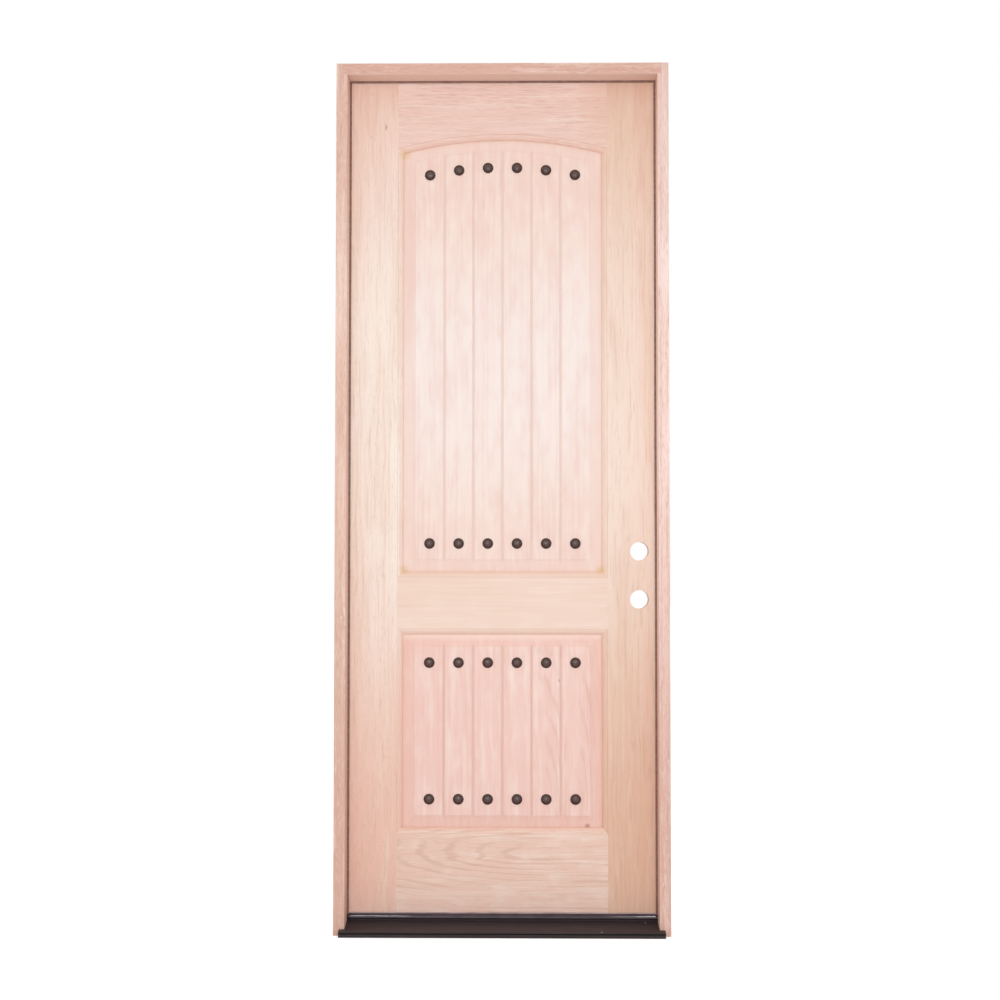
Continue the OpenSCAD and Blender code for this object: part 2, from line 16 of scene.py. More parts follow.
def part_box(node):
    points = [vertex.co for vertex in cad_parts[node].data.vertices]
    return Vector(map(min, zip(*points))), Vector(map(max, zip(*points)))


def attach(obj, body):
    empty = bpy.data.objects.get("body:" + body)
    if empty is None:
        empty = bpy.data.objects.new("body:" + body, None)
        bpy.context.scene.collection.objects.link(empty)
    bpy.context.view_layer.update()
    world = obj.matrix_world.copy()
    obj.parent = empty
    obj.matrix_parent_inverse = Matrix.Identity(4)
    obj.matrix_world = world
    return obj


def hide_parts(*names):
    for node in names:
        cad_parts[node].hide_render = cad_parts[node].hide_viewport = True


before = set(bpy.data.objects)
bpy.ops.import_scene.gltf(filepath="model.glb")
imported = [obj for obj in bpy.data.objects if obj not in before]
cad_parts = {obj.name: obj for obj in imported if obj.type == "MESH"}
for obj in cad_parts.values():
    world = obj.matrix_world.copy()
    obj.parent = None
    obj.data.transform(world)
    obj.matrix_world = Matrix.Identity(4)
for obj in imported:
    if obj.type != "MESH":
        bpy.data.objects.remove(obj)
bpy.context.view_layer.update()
MM = 0.001
SLAB_MID_Y = 0.5 * (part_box("hinge_stile")[0].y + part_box("hinge_stile")[1].y)
# Half width of the raised field of a panel, and width of a panel's edge around it, in millimetres
FIELD_X = 254.0
PANEL_EDGE = 45.0
# Radius in millimetres of the arched head of the upper field, and one that makes a head look straight
ARCH_R = 1083.0
STRAIGHT = 1.0e5
# Axes that a distance is measured along
X_ONLY = (1.0, 0.0, 0.0)
Y_ONLY = (0.0, 1.0, 0.0)
Z_ONLY = (0.0, 0.0, 1.0)
IN_PLAN = (1.0, 1.0, 0.0)
IN_FRONT = (1.0, 0.0, 1.0)
WHITE = (1.0, 1.0, 1.0, 1.0)
log = logging.getLogger("door")

Faces = list[list[int]]
Socket = bpy.types.NodeSocket
Tree = bpy.types.NodeTree
Pair = tuple[float, float]
Triple = tuple[float, float, float]
Inputs = dict[str | int, object]


def linear(hex_code: str) -> tuple[float, ...]:
    """Turns an sRGB hex colour into linear light.

    Args:
        hex_code: Colour such as "#E3B9A4".

    Returns:
        Linear red, green and blue with an alpha of 1.
    """
    srgb = np.array([int(hex_code[i:i + 2], 16) / 255 for i in (1, 3, 5)])
    light = np.where(srgb <= 0.04045, srgb / 12.92, ((srgb + 0.055) / 1.055) ** 2.4)
    return (*light.tolist(), 1.0)


def add_node(tree: Tree, kind: str, inputs: Inputs | None = None, output: int | str = 0) -> Socket | None:
    """Adds one shader node with its settings and links.

    Args:
        tree: Node tree that gets the node.
        kind: Name of the kind of node, without the word ShaderNode.
        inputs: Settings by property name, and values or linked sockets by the name or number of an input.
        output: Name or number of the output that is handed back.

    Returns:
        An output of the new node, or nothing where it has none.
    """
    node = tree.nodes.new("ShaderNode" + kind)
    for key, value in (inputs or {}).items():
        if isinstance(value, Socket):
            tree.links.new(value, node.inputs[key])
        elif isinstance(key, str) and key in node.bl_rna.properties:
            setattr(node, key, value)
        else:
            node.inputs[key].default_value = value
    return node.outputs[output] if len(node.outputs) else None


@dataclass(frozen=True)
class Rise:
    """Smooth rise of a value between two of its levels, from a bottom to a top."""

    value: Socket
    low: float
    high: float
    top: float = 1.0
    bottom: float = 0.0


# A tone and the rises that say where it is laid over others
Layer = tuple[str | Rise, ...]


def masked(tree: Tree, *rises: Rise) -> Socket:
    """Product of smooth rises, which is full only where all of them are.

    Args:
        tree: Node tree that gets the mask.
        *rises: Values and their levels.

    Returns:
        The mask.
    """
    product = None
    for rise in rises:
        levels = {"Value": rise.value, "From Min": rise.low, "From Max": rise.high, "To Min": rise.bottom,
                  "To Max": rise.top, "interpolation_type": "SMOOTHSTEP"}
        mask = add_node(tree, "MapRange", levels)
        if product:
            mask = add_node(tree, "Math", {"operation": "MULTIPLY", 0: product, 1: mask})
        product = mask
    return product


def tinted(tree: Tree, under: Socket | str, over: str, *rises: Rise) -> Socket:
    """Lays a colour over another by a mask.

    Args:
        tree: Node tree that gets the tint.
        under: Colour below, as a socket or a hex colour.
        over: Hex colour on top.
        *rises: Rises that the mask is made of.

    Returns:
        The mixed colour.
    """
    below = linear(under) if isinstance(under, str) else under
    inputs = {"data_type": "RGBA", 0: masked(tree, *rises), 6: below, 7: linear(over)}
    return add_node(tree, "Mix", inputs, 2)


def distance(tree: Tree, place: Socket, centre_mm: Triple, scale: Triple) -> Socket:
    """Distance from a centre, with each axis scaled first; a scale of zero leaves an axis out.

    Args:
        tree: Node tree that gets the distance.
        place: Coordinates in metres.
        centre_mm: Centre in millimetres.
        scale: Factor of each axis.

    Returns:
        Length of the scaled offset.
    """
    centre = tuple(value * MM for value in centre_mm)
    offset = add_node(tree, "VectorMath", {"operation": "SUBTRACT", 0: place, 1: centre})
    scaled = add_node(tree, "VectorMath", {"operation": "MULTIPLY", 0: offset, 1: scale})
    return add_node(tree, "VectorMath", {"operation": "LENGTH", 0: scaled}, "Value")


def stretched_noise(tree: Tree, vector: Socket, cell_mm: Triple, detail: float) -> Socket:
    """Noise whose cells have a real size along each axis.

    Args:
        tree: Node tree that gets the noise.
        vector: Coordinates in metres.
        cell_mm: Size of a cell along X, Y and Z.
        detail: Octaves of finer noise.

    Returns:
        Noise around one half.
    """
    scale = tuple(1 / (size * MM) for size in cell_mm)
    cells = add_node(tree, "Mapping", {"Scale": scale, "Vector": vector})
    return add_node(tree, "TexNoise", {"Scale": 1.0, "Detail": detail, "Vector": cells})


@dataclass(frozen=True)
class Finish:
    """A surface finish that is worked out from Object coordinates."""

    name: str

    def build(self) -> bpy.types.Material:
        """Makes the material of this finish.

        Returns:
            A material with one principled shader.
        """
        material = bpy.data.materials.new(self.name)
        material.use_nodes = True
        tree = material.node_tree
        tree.nodes.clear()
        place = add_node(tree, "TexCoord", output="Object")
        shader = add_node(tree, "BsdfPrincipled", self.pattern(tree, place))
        add_node(tree, "OutputMaterial", {"Surface": shader})
        return material

    def pattern(self, tree: Tree, place: Socket) -> Inputs:
        """Works out the finish's own pattern.

        Args:
            tree: Node tree of the material.
            place: Object coordinates in metres.

        Returns:
            The shader's inputs.
        """
        raise NotImplementedError


class Grain(Enum):
    """Direction of a board's grain, as the turn about Y that brings it to the pattern's Z axis."""

    UPRIGHT = 0.0
    LEVEL = math.pi / 2


@dataclass(frozen=True)
class Mark:
    """A small knot, fleck or stain on a board's face, in millimetres from the part's origin."""

    x: float
    z: float
    wide: float
    tall: float
    tone: str
    share: float


@dataclass(frozen=True)
class Band:
    """A tint on cut faces, by their distance in millimetres from the slab's middle plane.

    It begins at the start distance, is full further in, and where gone is not zero it has faded there.
    """

    start: float
    full: float
    gone: float
    tone: str
    share: float


@dataclass(frozen=True)
class Field:
    """Raised field of a panel in millimetres: pitch of its planks, foot, crown and radius of its head."""

    pitch: float
    foot: float
    crown: float
    radius: float


@dataclass(frozen=True)
class RawMahogany(Finish):
    """Sanded, unfinished light mahogany.

    Cut wood without oil is matt and pale: soft streaks follow the grain, the vessels are short dark
    dashes, the growth rings are faint, and the tone drifts between pink and tan along a board. A painted
    pool of light makes each board palest at one height, falling off to its end tone away from it.
    """

    pale: str
    deep: str
    ends: str
    grain: Grain
    seed: int
    # Shares of the tints, and how the rings lie in the board
    ribbon: float = 0.35
    streaks: float = 0.25
    pores: float = 0.16
    figure: float = 0.12
    fibre: float = 0.0
    mottle: float = 0.0
    ring_mm: float = 16.0
    pith_mm: float = 260.0
    taper: float = 0.0
    surfaced_mm: float = 0.0
    sway_mm: float = 30.0
    # Width and length along the grain of each kind of figure. Vessels are about 0.3 mm wide; they are
    # drawn near 1 mm so that they show at the picture's scale.
    sway_cell_mm: Pair = (70.0, 380.0)
    drift_mm: Pair = (60.0, 480.0)
    ribbon_mm: Pair = (15.0, 330.0)
    streak_mm: Pair = (5.0, 230.0)
    cloud_mm: Pair = (26.0, 75.0)
    fibre_mm: Pair = (4.0, 70.0)
    vessel_mm: Pair = (1.3, 30.0)
    # Levels of the vessel noise between which a vessel begins and is full
    vessel_levels: Pair = (0.58, 0.72)
    roughness: Pair = (0.75, 0.58)
    marks: tuple[Mark, ...] = ()
    bands: tuple[Band, ...] = ()
    # V-joints get a painted shade line: where it begins and is full beside a joint and at the sides, and its
    # run-out at the ends
    field: Field | None = None
    joint: str = "#E4D2C7"
    joint_share: float = 0.34
    joint_half: Pair = (4.6, 3.2)
    side_fade: Pair = (5.0, 9.0)
    run_out: float = 9.0
    blush: str = "#F0BFB2"
    streak: str = "#CFA08A"
    vessel: str = "#A97863"
    bright: str = "#FDEDE2"
    # Height at which a painted pool of light makes a board palest, and the distance from it at which the
    # painted light has fallen off to the end tone
    heart_mm: float = 1600.0
    reach_mm: float = 1300.0

    def pattern(self, tree: Tree, place: Socket) -> Inputs:
        """Lays tints over the ground tone by stretched noise and growth rings, and raises the grain.

        Args:
            tree: Node tree of the material.
            place: Object coordinates in metres.

        Returns:
            The shader's inputs.
        """
        draw = np.random.default_rng(self.seed)
        start = {"Location": tuple(draw.uniform(-9.0, 9.0, 3).tolist())}
        turned = add_node(tree, "Mapping", {"Rotation": (0.0, self.grain.value, 0.0), "Vector": place})
        turned = self._swayed(tree, turned, start)
        along = add_node(tree, "Mapping", start | {"Vector": turned})
        drift = self._grain_noise(tree, along, self.drift_mm)
        ribbons = self._grain_noise(tree, along, self.ribbon_mm)
        streaks = self._grain_noise(tree, along, self.streak_mm)
        clouds = self._grain_noise(tree, along, self.cloud_mm, 2.0)
        vessels = self._grain_noise(tree, along, self.vessel_mm, 1.0)
        rings = self._rings(tree, turned, ribbons, drift)
        layers = [(self.bright, Rise(clouds, 0.46, 0.74, self.mottle)),
                  (self.blush, Rise(clouds, 0.54, 0.26, 0.6 * self.mottle)),
                  (self.bright, Rise(ribbons, 0.5, 0.7, self.ribbon)),
                  (self.streak, Rise(streaks, 0.5, 0.75, self.streaks)),
                  (self.streak, Rise(rings, 0.1, 1.0, self.figure)),
                  *self._torn_fibres(tree, along, drift),
                  (self.vessel, Rise(vessels, *self.vessel_levels, self.pores)),
                  *self._cut_faces(tree, place),
                  *(self._stain(tree, place, mark) for mark in self.marks)]
        # The ground goes from pale to deep by drift, and falls off to the end tone away from the height of
        # the painted pool of light
        ground = tinted(tree, self.pale, self.deep, Rise(drift, 0.38, 0.64))
        away = distance(tree, place, (0.0, 0.0, self.heart_mm), Z_ONLY)
        colour = tinted(tree, ground, self.ends, Rise(away, 0.1 * self.reach_mm * MM, self.reach_mm * MM))
        for tone, *rises in layers:
            if rises[0].top:
                colour = tinted(tree, colour, tone, *rises)
        pits = masked(tree, Rise(vessels, *self.vessel_levels))
        height = add_node(tree, "Math", {"operation": "SUBTRACT", 0: streaks, 1: pits})
        relief = add_node(tree, "Bump", {"Strength": 0.25, "Distance": 0.2 * MM, "Height": height})
        rough = masked(tree, Rise(streaks, 0.35, 0.7, *self.roughness))
        return {"IOR": 1.45, "Base Color": colour, "Roughness": rough, "Normal": relief}

    def _grain_noise(self, tree: Tree, along: Socket, size_mm: Pair, detail: float = 3.0) -> Socket:
        """Noise that is stretched along the grain."""
        across, length = size_mm
        return stretched_noise(tree, along, (across, across, length), detail)

    def _swayed(self, tree: Tree, turned: Socket, start: Inputs) -> Socket:
        """Moves the coordinates sideways by slow noise, so that the grain wanders along the board.

        Args:
            tree: Node tree of the material.
            turned: Coordinates with the grain along Z.
            start: Place in the noise.

        Returns:
            The moved coordinates.
        """
        along = add_node(tree, "Mapping", start | {"Vector": turned})
        noise = self._grain_noise(tree, along, self.sway_cell_mm, 2.0)
        # The noise swings about one half, which the sum takes off again
        sway = self.sway_mm * MM
        lift = add_node(tree, "Math", {"operation": "MULTIPLY_ADD", 0: noise, 1: sway, 2: -0.5 * sway})
        shift = add_node(tree, "CombineXYZ", {"X": lift, "Y": lift})
        return add_node(tree, "VectorMath", {"operation": "ADD", 0: turned, 1: shift})

    def _rings(self, tree: Tree, turned: Socket, ribbons: Socket, drift: Socket) -> Socket:
        """Growth rings: sine of the distance from a pith that dives away from the face.

        The pith runs along the grain just outside the face up to the place where it has surfaced, and
        beyond it falls away by the taper, so that the rings close there in nested loops.

        Args:
            tree: Node tree of the material.
            turned: Coordinates with the grain along Z.
            ribbons: Noise that moves the rings.
            drift: Noise that fades the rings in patches.

        Returns:
            Strength of the late wood, below zero between the rings.
        """
        parts = add_node(tree, "SeparateXYZ", {0: turned}).node.outputs
        fall = {"operation": "MULTIPLY_ADD", 1: self.taper, 2: -self.taper * self.surfaced_mm * MM}
        dive = add_node(tree, "Math", fall | {0: parts["Z"]})
        dive = add_node(tree, "Math", {"operation": "MAXIMUM", 0: dive, 1: 0.0})
        depth = add_node(tree, "Math", {"operation": "ADD", 0: dive, 1: parts["Y"]})
        spoke = add_node(tree, "CombineXYZ", {"X": parts["X"], "Y": depth})
        radius = distance(tree, spoke, (self.pith_mm, 0.0, 0.0), IN_PLAN)
        pitch = self.ring_mm * MM
        moved = add_node(tree, "Math", {"operation": "MULTIPLY_ADD", 0: ribbons, 1: pitch, 2: radius})
        turns = add_node(tree, "Math", {"operation": "MULTIPLY", 0: moved, 1: 2 * math.pi / pitch})
        wave = add_node(tree, "Math", {"operation": "SINE", 0: turns})
        fade = masked(tree, Rise(drift, 0.4, 0.58, 1.0, 0.2))
        return add_node(tree, "Math", {"operation": "MULTIPLY", 0: wave, 1: fade})

    def _torn_fibres(self, tree: Tree, along: Socket, drift: Socket) -> list[Layer]:
        """Short pale and dark fibres that are torn up in patches; the planed wood between is smoother.

        Args:
            tree: Node tree of the material.
            along: Coordinates of the board's noise.
            drift: Noise that sets the patches.

        Returns:
            The tints.
        """
        if not self.fibre:
            return []
        fibres = self._grain_noise(tree, along, self.fibre_mm)
        torn = Rise(drift, 0.36, 0.6, self.fibre, 0.4 * self.fibre)
        return [(self.bright, Rise(fibres, 0.53, 0.68), torn), (self.streak, Rise(fibres, 0.46, 0.34), torn)]

    def _cut_faces(self, tree: Tree, place: Socket) -> list[Layer]:
        """Tints of mouldings, grooves and bevels, which lie nearer the slab's middle plane than its face; the
        lines in quirks, along feet and shoulders and in the V-joints are painted shade.

        Args:
            tree: Node tree of the material.
            place: Object coordinates in metres.

        Returns:
            The tints.
        """
        if not self.bands:
            return []
        away = distance(tree, place, (0.0, SLAB_MID_Y / MM, 0.0), Y_ONLY)
        layers = []
        for band in self.bands:
            rises = [Rise(away, band.start * MM, band.full * MM, band.share)]
            if band.gone:
                rises.append(Rise(away, band.gone * MM, band.full * MM))
            layers.append((band.tone, *rises))
        if self.field:
            layers.append(self._joints(tree, place, self.field))
        return layers

    def _joints(self, tree: Tree, place: Socket, field: Field) -> Layer:
        """Painted shade in the V-joints between the planks, which runs out on the border round the raised
        field.

        Args:
            tree: Node tree of the material.
            place: Object coordinates in metres.
            field: Raised field that the planks make up.

        Returns:
            The tint.
        """
        parts = add_node(tree, "SeparateXYZ", {0: place}).node.outputs
        gap = add_node(tree, "Math", {"operation": "PINGPONG", 0: parts["X"], 1: 0.5 * field.pitch * MM})
        side = distance(tree, place, (0.0, 0.0, 0.0), X_ONLY)
        arch = distance(tree, place, (0.0, 0.0, field.crown - field.radius), IN_FRONT)
        edges = ((gap, *self.joint_half, self.joint_share),
                 (side, FIELD_X - self.side_fade[0], FIELD_X - self.side_fade[1], 1.0),
                 (parts["Z"], field.foot - self.run_out, field.foot, 1.0),
                 (arch, field.radius + self.run_out, field.radius, 1.0))
        return (self.joint, *(Rise(value, gone * MM, full * MM, top) for value, gone, full, top in edges))

    def _stain(self, tree: Tree, place: Socket, mark: Mark) -> Layer:
        """Soft ellipse on the face: it fades with the scaled distance from its centre."""
        scale = (2 / (mark.wide * MM), 0.0, 2 / (mark.tall * MM))
        return mark.tone, Rise(distance(tree, place, (mark.x, 0.0, mark.z), scale), 1.0, 0.25, mark.share)


@dataclass(frozen=True)
class PlainTimber(Finish):
    """Turned beech or pressed wood composite: matt, with short flecks at a real grain size."""

    pale: str
    deep: str
    fleck_mm: Triple
    roughness: float = 0.7

    def pattern(self, tree: Tree, place: Socket) -> Inputs:
        """Mixes two tones by stretched noise and raises it slightly.

        Args:
            tree: Node tree of the material.
            place: Object coordinates in metres.

        Returns:
            The shader's inputs.
        """
        flecks = stretched_noise(tree, place, self.fleck_mm, 4.0)
        colour = tinted(tree, self.pale, self.deep, Rise(flecks, 0.4, 0.65))
        relief = add_node(tree, "Bump", {"Strength": 0.3, "Distance": 0.2 * MM, "Height": flecks})
        return {"Roughness": self.roughness, "Base Color": colour, "Normal": relief}


@dataclass(frozen=True)
class PatinatedIron(Finish):
    """Hand-hammered iron under a dark bronze patina.

    The patina is half-matt and almost black at the rim; the crown of each head is grey, partly rubbed patina
    and partly a painted highlight.
    """

    dark: str
    rubbed_and_lit: str
    # Depths in the part's frame at which the grey crown, rubbed patina and painted highlight, begins and is
    # full
    crown_mm: Pair
    mottle_mm: float = 4.0
    pit_mm: float = 1.1
    roughness: Pair = (0.2, 0.32)
    specular: float = 0.6

    def pattern(self, tree: Tree, place: Socket) -> Inputs:
        """Greys the patina towards the crown as wear and painted highlight, mottles it and pits it.

        Args:
            tree: Node tree of the material.
            place: Object coordinates in metres.

        Returns:
            The shader's inputs.
        """
        mottle = stretched_noise(tree, place, (self.mottle_mm,) * 3, 3.0)
        pits = stretched_noise(tree, place, (self.pit_mm,) * 3, 2.0)
        depth = add_node(tree, "SeparateXYZ", {0: place}, "Y")
        crown = Rise(depth, self.crown_mm[0] * MM, self.crown_mm[1] * MM)
        colour = tinted(tree, self.dark, self.rubbed_and_lit, crown, Rise(mottle, 0.3, 0.62, 1.0, 0.45))
        relief = add_node(tree, "Bump", {"Strength": 0.4, "Distance": 0.2 * MM, "Height": pits})
        rough = masked(tree, Rise(mottle, 0.3, 0.7, *self.roughness))
        return {"Specular IOR Level": self.specular, "Base Color": colour, "Roughness": rough,
                "Normal": relief}


@dataclass(frozen=True)
class BrushedMetal(Finish):
    """Plated, bronzed or anodised metal with fine lines along X or Z from rolling or drawing.

    The lines stretch the highlight across them and the coating gives the colour.
    """

    base: str
    shade: str
    line_mm: Triple
    metallic: float
    roughness: float
    flecks: tuple[Triple, ...] = ()
    fleck: str = "#D8D2CF"
    # Heights between which painted shade lies in a step
    shaded_steps_mm: tuple[Pair, ...] = ()
    painted_step_shade: str = "#120E0D"
    specular: float = 0.5

    def pattern(self, tree: Tree, place: Socket) -> Inputs:
        """Varies tone and roughness along the drawn lines, and adds stray flecks and painted shade in the
        steps.

        Args:
            tree: Node tree of the material.
            place: Object coordinates in metres.

        Returns:
            The shader's inputs.
        """
        lines = stretched_noise(tree, place, self.line_mm, 2.0)
        colour = tinted(tree, self.base, self.shade, Rise(lines, 0.35, 0.65))
        for x, y, size in self.flecks:
            length = distance(tree, place, (x, y, 0.0), IN_PLAN)
            colour = tinted(tree, colour, self.fleck, Rise(length, 0.5 * size * MM, 0.3 * size * MM))
        height = add_node(tree, "SeparateXYZ", {0: place}, "Z")
        for low, high in self.shaded_steps_mm:
            above = Rise(height, (low - 0.1 * (high - low)) * MM, low * MM, 0.9)
            below = Rise(height, (high + 0.6) * MM, high * MM)
            colour = tinted(tree, colour, self.painted_step_shade, above, below)
        relief = add_node(tree, "Bump", {"Strength": 0.15, "Distance": 0.1 * MM, "Height": lines})
        rough = masked(tree, Rise(lines, 0.3, 0.7, 1.15 * self.roughness, 0.85 * self.roughness))
        return {"Metallic": self.metallic, "Specular IOR Level": self.specular, "Base Color": colour,
                "Roughness": rough, "Normal": relief}


@dataclass(frozen=True)
class ExtrudedVinyl(Finish):
    """Extruded vinyl: a smooth skin with slow waves from cooling, glossy on the cap and dull on the seals."""

    base: str
    shade: str
    roughness: float
    wave_mm: float
    specular: float = 0.5

    def pattern(self, tree: Tree, place: Socket) -> Inputs:
        """Varies the tone and raises slow waves in the skin, which are longest along X.

        Args:
            tree: Node tree of the material.
            place: Object coordinates in metres.

        Returns:
            The shader's inputs.
        """
        waves = stretched_noise(tree, place, (self.wave_mm, 0.3 * self.wave_mm, 0.3 * self.wave_mm), 2.0)
        colour = tinted(tree, self.base, self.shade, Rise(waves, 0.35, 0.65))
        relief = add_node(tree, "Bump", {"Strength": 0.25, "Distance": 0.5 * MM, "Height": waves})
        return {"Roughness": self.roughness, "Specular IOR Level": self.specular, "Base Color": colour,
                "Normal": relief}


@dataclass
class Patch:
    """A closed surface on a grid: columns go round it, rows go along it and both ends are closed."""

    points: np.ndarray

    @classmethod
    def of(cls, x: np.ndarray, y: np.ndarray, z: np.ndarray) -> "Patch":
        """Patch from three arrays that are spread to one grid."""
        return cls(np.stack(np.broadcast_arrays(x, y, z), axis=-1))

    def faces(self, first: int) -> Faces:
        """Quads between neighbouring rows, and one face on each end.

        Args:
            first: Number of the patch's first vertex in the whole mesh.

        Returns:
            Vertex numbers of each face.
        """
        rows, columns = self.points.shape[:2]
        index = first + np.arange(rows * columns).reshape(rows, columns)
        beside = np.roll(index, -1, axis=1)
        quads = np.stack([index[:-1], beside[:-1], beside[1:], index[1:]], axis=-1).reshape(-1, 4)
        return [*quads.tolist(), index[0, ::-1].tolist(), index[-1].tolist()]


def make_piece(name: str, patches: list[Patch], body: str, finish: bpy.types.Material, nodes: list[str],
               sharp_deg: float = 40.0) -> None:
    """Joins patches into one mesh piece that stands for solids and rides on a body.

    Args:
        name: Name of the piece.
        patches: Closed surfaces, in metres in the part's frame.
        body: Body that the piece moves with.
        finish: Material of the piece.
        nodes: Solids that the piece stands for.
        sharp_deg: Angle above which an edge is shaded as sharp.
    """
    counts = np.cumsum([0, *(p.points.shape[0] * p.points.shape[1] for p in patches)])
    points = np.concatenate([p.points.reshape(-1, 3) for p in patches])
    faces = [face for patch, first in zip(patches, counts) for face in patch.faces(int(first))]
    mesh = bpy.data.meshes.new(name)
    mesh.from_pydata(points.tolist(), [], faces)
    work = bmesh.new()
    work.from_mesh(mesh)
    bmesh.ops.recalc_face_normals(work, faces=work.faces)
    work.to_mesh(mesh)
    work.free()
    mesh.polygons.foreach_set("use_smooth", np.ones(len(mesh.polygons), dtype=bool))
    mesh.set_sharp_from_angle(angle=math.radians(sharp_deg))
    mesh.materials.append(finish)
    piece = bpy.data.objects.new(name, mesh)
    bpy.context.scene.collection.objects.link(piece)
    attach(piece, body)
    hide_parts(*nodes)
    log.info("%s: %d faces on %s", name, len(faces), body)


def dress(node: str, material: bpy.types.Material) -> None:
    """Puts a material on every slot of a solid."""
    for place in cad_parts[node].material_slots:
        place.material = material


def revolved(profile: np.ndarray, columns: int) -> np.ndarray:
    """Carries a profile round an axis: each row is a circle of the profile's radius at its height.

    Args:
        profile: Radius and height of each row.
        columns: Points round the axis.

    Returns:
        Grid of two across values and the height.
    """
    angle = np.linspace(0, 2 * math.pi, columns, endpoint=False)
    radius, height = profile[:, :1], profile[:, 1:]
    return Patch.of(radius * np.cos(angle), radius * np.sin(angle), height).points


def arc(centre: Pair, radius: float, start_deg: float, end_deg: float,
        count: int) -> np.ndarray:
    """Points on a circle from one angle to another.

    Args:
        centre: Centre of the circle.
        radius: Radius of the circle.
        start_deg: First angle.
        end_deg: Last angle.
        count: Number of points.

    Returns:
        Array of points.
    """
    angle = np.radians(np.linspace(start_deg, end_deg, count))
    return np.stack([centre[0] + radius * np.cos(angle), centre[1] + radius * np.sin(angle)], axis=-1)


@dataclass
class NailHeads:
    """Rows of hammered domed nail heads that stand for the plain ones."""

    finish: bpy.types.Material
    heads: int = 6
    columns: int = 56
    shank_r: float = 2.5 * MM
    shank_l: float = 20.0 * MM
    rim_h: float = 1.2 * MM
    rim_round: float = 0.5 * MM
    dents: int = 16
    dent_depth: float = 0.34 * MM
    flare: float = 0.5 * MM
    dome_rows: int = 26
    # Ranges of the dents' sizes as shares of a head's radius, and of their depths
    dent_size: Pair = (0.2, 0.42)
    dent_share: Pair = (0.45, 1.0)
    # A row whose heads differ in height by less than this share of a radius is straight
    straight_share: float = 0.01
    seed: int = 7

    def centres(self, node: str) -> tuple[np.ndarray, float]:
        """Finds the heads of a row from the box of its solid.

        A straight row has its heads at one height. An arched row has them on a circle about the middle
        of the door, which the heights of its outer and inner heads give.

        Args:
            node: Solid that holds the row.

        Returns:
            X and Z of each head, and a head's radius.
        """
        low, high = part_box(node)
        radius = 0.5 * (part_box("lower_top_clavos")[1].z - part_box("lower_top_clavos")[0].z)
        x = np.linspace(low.x + radius, high.x - radius, self.heads)
        outer, inner = low.z + radius, high.z - radius
        if outer > inner - radius * self.straight_share:
            return np.stack([x, np.full(self.heads, 0.5 * (low.z + high.z))], axis=-1), radius
        middle = np.abs(x).min()
        centre_z = (x[0] ** 2 + outer ** 2 - middle ** 2 - inner ** 2) / (2 * (outer - inner))
        arch_r = math.hypot(middle, inner - centre_z)
        return np.stack([x, centre_z + np.sqrt(arch_r ** 2 - x ** 2)], axis=-1), radius

    def profile(self, radius: float, height: float) -> np.ndarray:
        """Section of a nail from tip to crown: shank, flat underside, rim and round dome.

        Args:
            radius: Radius of the head.
            height: Height of the head above the wood.

        Returns:
            Radius and height of each row.
        """
        dome_h = height - self.rim_h
        dome_r = (radius ** 2 + dome_h ** 2) / (2 * dome_h)
        top_deg = math.degrees(math.asin(radius / dome_r))
        # The dome's rows begin just inside the rim and end just short of the pole
        swing = np.radians(np.linspace(0.985 * top_deg, 0.6, self.dome_rows))
        dome = np.stack([dome_r * np.sin(swing), height - dome_r * (1 - np.cos(swing))], axis=-1)
        tip = [0.2 * self.shank_r, -self.shank_l]
        shank = np.array([tip, [self.shank_r, -0.8 * self.shank_l], [self.shank_r, 0]])
        under = np.stack([np.linspace(1.6 * self.shank_r, radius - self.rim_round, 4), np.zeros(4)], axis=-1)
        rim = np.array([[radius, self.rim_round], [radius, self.rim_h]])
        return np.concatenate([shank, under, rim, dome])

    def hammered(self, grid: np.ndarray, radius: float, draw: np.random.Generator) -> np.ndarray:
        """Sinks shallow round hammer marks into a dome: each is a paraboloid, and the deepest one counts.

        Args:
            grid: Points of one nail as across, across and height.
            radius: Radius of the head.
            draw: Source of the marks' places.

        Returns:
            The grid with marks.
        """
        turn = draw.uniform(0, 2 * math.pi, self.dents)
        reach = radius * np.sqrt(draw.uniform(0.0, 0.95, self.dents))
        size = draw.uniform(*self.dent_size, self.dents) * radius
        depth = draw.uniform(*self.dent_share, self.dents) * self.dent_depth
        across = grid[..., :2, None] - np.stack([reach * np.cos(turn), reach * np.sin(turn)])
        share = 1 - np.sum(across ** 2, axis=-2) / size ** 2
        sink = np.max(depth * np.clip(share, 0, None), axis=-1)
        marked = grid.copy()
        marked[..., 2] -= np.where(grid[..., 2] > self.rim_h, sink, 0.0)
        return marked

    def build(self) -> None:
        """Makes one piece for each row of nails."""
        draw = np.random.default_rng(self.seed)
        for row in ("upper_top", "upper_bottom", "lower_top", "lower_bottom"):
            node = row + "_clavos"
            centres, radius = self.centres(node)
            low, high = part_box(node)
            wood_y = high.y - self.shank_l
            section = self.profile(radius + self.flare, wood_y - low.y)
            patches = []
            for x, z in centres:
                grid = self.hammered(revolved(section, self.columns), radius, draw)
                patches.append(Patch.of(x + grid[..., 0], wood_y - grid[..., 2], z + grid[..., 1]))
            make_piece(row + "_nail_heads", patches, "door", self.finish, [node], 50.0)


